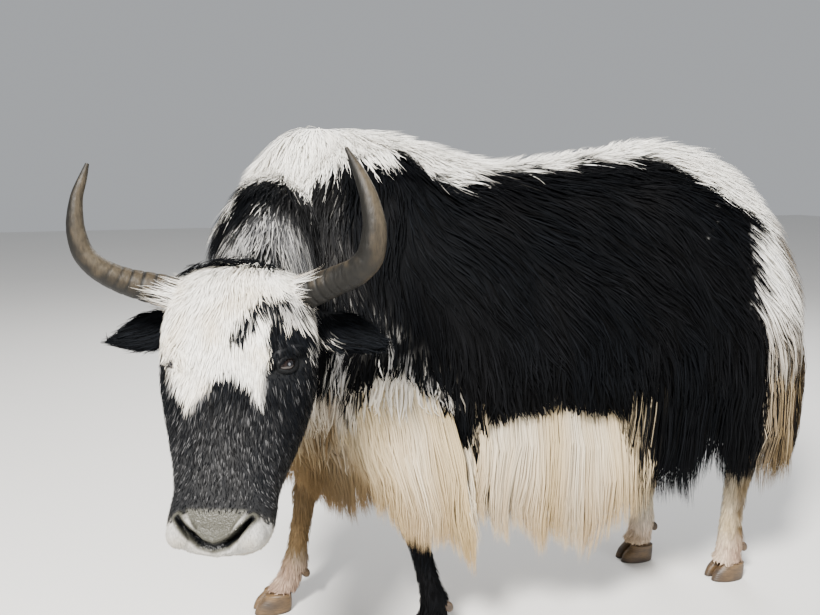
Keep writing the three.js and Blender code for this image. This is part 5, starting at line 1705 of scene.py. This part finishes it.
def dewclaw(node):
    """A small blunt claw on the back of the fetlock, in the place of its node."""
    low, high = (np.array(corner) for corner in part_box(node))
    middle = ((low + high) / 2 - ORIGIN) / MM
    points, faces = egg([11, 8, 15], middle, (0, 1, 0), 0.5, 24, 28)
    ringed = 1 + 0.03 * np.sin(FULL_TURN * points[:, 2] / 4.5)
    points[:, :2] = middle[:2] + (points[:, :2] - middle[:2]) * ringed[:, None]
    tone = mix(HOOF_DARK, HOOF_TONE, np.clip(0.4 + 0.6 * noise(points, 9, 92), 0, 1))
    coloured_piece(f"{node}_tip", [(points, faces)], node, "hoof", {"tone": tone})


def hooves():
    """Two claws and two dewclaws for each leg."""
    for leg, spec in LEGS.items():
        for side in (1, -1):
            facing = "outer" if side == math.copysign(1, spec["hoof"][1]) else "inner"
            claw(spec, side, f"{leg}_claw_{facing}")
            dewclaw(f"{leg}_dewclaw_{facing}")


# Materials

def node_material(name):
    """An empty material with its shader."""
    material = bpy.data.materials.new(name)
    material.use_nodes = True
    tree = material.node_tree
    tree.nodes.clear()
    output = tree.nodes.new("ShaderNodeOutputMaterial")
    shader = tree.nodes.new("ShaderNodeBsdfPrincipled")
    tree.links.new(shader.outputs["BSDF"], output.inputs["Surface"])
    return material, tree, shader


def attribute_node(tree, name):
    """A node that reads one of the mesh's own values."""
    node = tree.nodes.new("ShaderNodeAttribute")
    node.attribute_name = name
    return node


def object_place(tree):
    """The place on the object, in metres."""
    return tree.nodes.new("ShaderNodeTexCoord").outputs["Object"]


def grain_of(tree, place_of, stretch, detail, scale=1.0, roughness=0.6):
    """Noise over places stretched by three factors."""
    mapping = tree.nodes.new("ShaderNodeMapping")
    mapping.inputs["Scale"].default_value = stretch
    tree.links.new(place_of, mapping.inputs["Vector"])
    node = tree.nodes.new("ShaderNodeTexNoise")
    node.inputs["Scale"].default_value = scale
    node.inputs["Detail"].default_value = detail
    node.inputs["Roughness"].default_value = roughness
    tree.links.new(mapping.outputs["Vector"], node.inputs["Vector"])
    return node.outputs["Fac"]


def shade_by(tree, shader, attribute, factor, low, high):
    """Sets the colour to an attribute's, times a value that runs from low to high with the factor."""
    colour = attribute_node(tree, attribute).outputs["Color"]
    span = tree.nodes.new("ShaderNodeMapRange")
    span.inputs["From Min"].default_value = 0.3
    span.inputs["From Max"].default_value = 0.7
    span.inputs["To Min"].default_value = low
    span.inputs["To Max"].default_value = high
    tree.links.new(factor, span.inputs["Value"])
    times = tree.nodes.new("ShaderNodeVectorMath")
    times.operation = "SCALE"
    tree.links.new(colour, times.inputs[0])
    tree.links.new(span.outputs["Result"], times.inputs["Scale"])
    tree.links.new(times.outputs["Vector"], shader.inputs["Base Color"])


def bump_by(tree, shader, height, strength, distance):
    """Raises the surface with a height, over a distance in metres."""
    node = tree.nodes.new("ShaderNodeBump")
    node.inputs["Strength"].default_value = strength
    node.inputs["Distance"].default_value = distance
    tree.links.new(height, node.inputs["Height"])
    tree.links.new(node.outputs["Normal"], shader.inputs["Normal"])


def roughen_by(tree, shader, factor, low, high):
    """Runs the roughness from low to high with the factor."""
    span = tree.nodes.new("ShaderNodeMapRange")
    span.inputs["To Min"].default_value = low
    span.inputs["To Max"].default_value = high
    tree.links.new(factor, span.inputs["Value"])
    tree.links.new(span.outputs["Result"], shader.inputs["Roughness"])


def fur_material():
    """Colour from the tuft, broken into single hairs that run along it."""
    material, tree, shader = node_material("fur")
    hairs = grain_of(tree, attribute_node(tree, "strand").outputs["Vector"], (7, 0.7, 60), 3.0)
    shade_by(tree, shader, "fur", hairs, 0.72, 1.16)
    bump_by(tree, shader, hairs, 0.6, 0.0012)
    shader.inputs["Roughness"].default_value = 0.62
    shader.inputs["Specular IOR Level"].default_value = 0.03
    return material


def skin_material(name, wet):
    """Short hair pressed to the skin, and on the head a wet, grained nose."""
    material, tree, shader = node_material(name)
    place_of = object_place(tree)
    height = hairs = grain_of(tree, place_of, (420, 420, 90), 3.0)
    shade_by(tree, shader, "fur", hairs, 0.7, 1.2)
    if wet:
        wetness = attribute_node(tree, "wet").outputs["Fac"]
        grain = tree.nodes.new("ShaderNodeTexVoronoi")
        grain.inputs["Scale"].default_value = 330
        tree.links.new(place_of, grain.inputs["Vector"])
        choose = tree.nodes.new("ShaderNodeMix")
        tree.links.new(wetness, choose.inputs["Factor"])
        tree.links.new(hairs, choose.inputs["A"])
        tree.links.new(grain.outputs["Distance"], choose.inputs["B"])
        height = choose.outputs["Result"]
        roughen_by(tree, shader, wetness, 0.75, 0.34)
        shader.inputs["Specular IOR Level"].default_value = 0.16
    else:
        shader.inputs["Roughness"].default_value = 0.8
        shader.inputs["Specular IOR Level"].default_value = 0.05
    bump_by(tree, shader, height, 0.5, 0.002)
    return material


def horn_material():
    """Horn that is worn along its length."""
    material, tree, shader = node_material("horn_shaft")
    worn = grain_of(tree, object_place(tree), (260, 260, 70), 5.0, roughness=0.65)
    shade_by(tree, shader, "tone", worn, 0.6, 1.45)
    roughen_by(tree, shader, worn, 0.4, 0.65)
    shader.inputs["Specular IOR Level"].default_value = 0.25
    bump_by(tree, shader, worn, 0.5, 0.002)
    return material


def hoof_material():
    """Hoof with fine level lines."""
    material, tree, shader = node_material("hoof")
    lines = grain_of(tree, object_place(tree), (70, 70, 420), 4.0)
    shade_by(tree, shader, "tone", lines, 0.6, 1.4)
    bump_by(tree, shader, lines, 0.4, 0.0015)
    shader.inputs["Roughness"].default_value = 0.5
    return material


def eye_material():
    """A smooth, wet ball."""
    material, tree, shader = node_material("eye")
    depth = grain_of(tree, object_place(tree), (1, 1, 1), 3.0, scale=500.0)
    shade_by(tree, shader, "tone", depth, 0.75, 1.3)
    shader.inputs["Roughness"].default_value = 0.06
    shader.inputs["Coat Weight"].default_value = 0.6
    shader.inputs["Coat Roughness"].default_value = 0.03
    return material


def floor_material():
    """A pale floor that is slightly uneven in tone."""
    material, tree, shader = node_material("floor")
    cloud = grain_of(tree, object_place(tree), (1, 1, 1), 2.0, scale=0.6)
    ramp = tree.nodes.new("ShaderNodeValToRGB")
    ramp.color_ramp.elements[0].color = (0.705, 0.695, 0.675, 1)
    ramp.color_ramp.elements[1].color = (0.735, 0.725, 0.705, 1)
    tree.links.new(cloud, ramp.inputs["Fac"])
    tree.links.new(ramp.outputs["Color"], shader.inputs["Base Color"])
    shader.inputs["Roughness"].default_value = 0.8
    return material


# Stage

# The camera of the photo, fitted to it: its place, its level direction and its tilt.
CAMERA_PLACE = np.array([906.0, 1833.0, 1150.0])
CAMERA_LEVEL = np.array([-0.3007, -0.9537, 0.0])
CAMERA_PITCH = math.radians(-10)
FOCAL_PIXELS = 800
PHOTO_WIDTH = 820
SENSOR_WIDTH = 36


def make_camera():
    """The camera at the photo's angle."""
    data = bpy.data.cameras.new("camera")
    data.sensor_width = SENSOR_WIDTH
    data.lens = FOCAL_PIXELS / PHOTO_WIDTH * SENSOR_WIDTH
    data.clip_start = 0.05
    data.clip_end = 100
    camera = bpy.data.objects.new("camera", data)
    look = unit(CAMERA_LEVEL) * math.cos(CAMERA_PITCH) + np.array([0, 0, math.sin(CAMERA_PITCH)])
    camera.location = Vector(place(CAMERA_PLACE))
    camera.rotation_euler = Vector(look).to_track_quat("-Z", "Y").to_euler()
    bpy.context.scene.collection.objects.link(camera)
    bpy.context.scene.camera = camera


# The floor's half width, and the point that the lights are turned to, in metres of the frame.
FLOOR_HALF = 14.0
LIT_MIDDLE = (0.0, -0.1, 0.7)


def area_light(name, position, size, power, colour=(1, 1, 1)):
    """A round light of a size in metres and a power in watts, turned to the animal."""
    data = bpy.data.lights.new(name, "AREA")
    data.shape = "DISK"
    data.size = size
    data.energy = power
    data.color = colour
    light = bpy.data.objects.new(name, data)
    light.location = Vector(position)
    light.rotation_euler = (Vector(LIT_MIDDLE) - Vector(position)).to_track_quat("-Z", "Y").to_euler()
    bpy.context.scene.collection.objects.link(light)


def make_stage():
    """A pale floor, a soft sky and three lights."""
    mesh = bpy.data.meshes.new("floor")
    corners = [(x * FLOOR_HALF, y * FLOOR_HALF, 0) for x, y in ((-1, -1), (1, -1), (1, 1), (-1, 1))]
    mesh.from_pydata(corners, [], [(0, 1, 2, 3)])
    floor = bpy.data.objects.new("floor", mesh)
    mesh.materials.append(floor_material())
    bpy.context.scene.collection.objects.link(floor)
    world = bpy.data.worlds.new("studio")
    world.use_nodes = True
    sky = world.node_tree.nodes["Background"]
    sky.inputs["Color"].default_value = (0.86, 0.89, 0.93, 1)
    sky.inputs["Strength"].default_value = 0.5
    bpy.context.scene.world = world
    area_light("key", (2.6, 3.0, 4.2), 1.2, 1150, (1.0, 0.97, 0.92))
    area_light("fill", (-2.8, 3.4, 1.9), 2.5, 90, (0.93, 0.96, 1.0))
    area_light("rim", (-1.5, -3.4, 3.2), 2.2, 160)


# Scene

def dress_skin():
    """The skin with its colours, in the place of all nodes of flesh."""
    skin = joined_skin(body_skin(), head_skin())
    surface = Surface(skin)
    slots = np.zeros(len(skin.data.vertices), bool)
    slots[surface.corners[surface.head].ravel()] = True
    colours, wetness = skin_colours(surface.points, slots)
    set_colours(skin.data, "fur", colours)
    set_values(skin.data, "wet", wetness)
    replaced = ["torso", "neck", "head", "tail", "flank_left", "flank_right", "ear_left", "ear_right"]
    replaced += [f"{leg}_{part}" for leg in LEGS for part in ("upper", "lower")]
    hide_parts(*[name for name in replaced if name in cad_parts])
    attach(skin, "root")
    return surface


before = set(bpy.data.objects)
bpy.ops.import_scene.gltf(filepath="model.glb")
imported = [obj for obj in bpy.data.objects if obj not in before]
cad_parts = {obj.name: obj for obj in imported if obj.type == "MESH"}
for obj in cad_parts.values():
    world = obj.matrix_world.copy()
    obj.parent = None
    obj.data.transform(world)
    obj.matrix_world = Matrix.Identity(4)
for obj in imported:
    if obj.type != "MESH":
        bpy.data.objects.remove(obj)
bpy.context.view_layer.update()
ORIGIN = origin_of_frame()
MATERIALS = {
    "fur": fur_material(),
    "skin_body": skin_material("skin_body", False),
    "skin_head": skin_material("skin_head", True),
    "horn": horn_material(),
    "hoof": hoof_material(),
    "eye": eye_material(),
}
make_camera()
make_stage()
skin_surface = dress_skin()
coat_trunk(skin_surface)
coat_crest(skin_surface)
coat_neck(skin_surface)
coat_thigh(skin_surface)
coat_legs(skin_surface)
coat_skirts(skin_surface)
coat_tail()
coat_face(skin_surface)
coat_poll(skin_surface)
coat_fringe()
coat_horn_roots()
for horn_side in SIDES:
    horn(horn_side)
    eye(horn_side)
hooves()
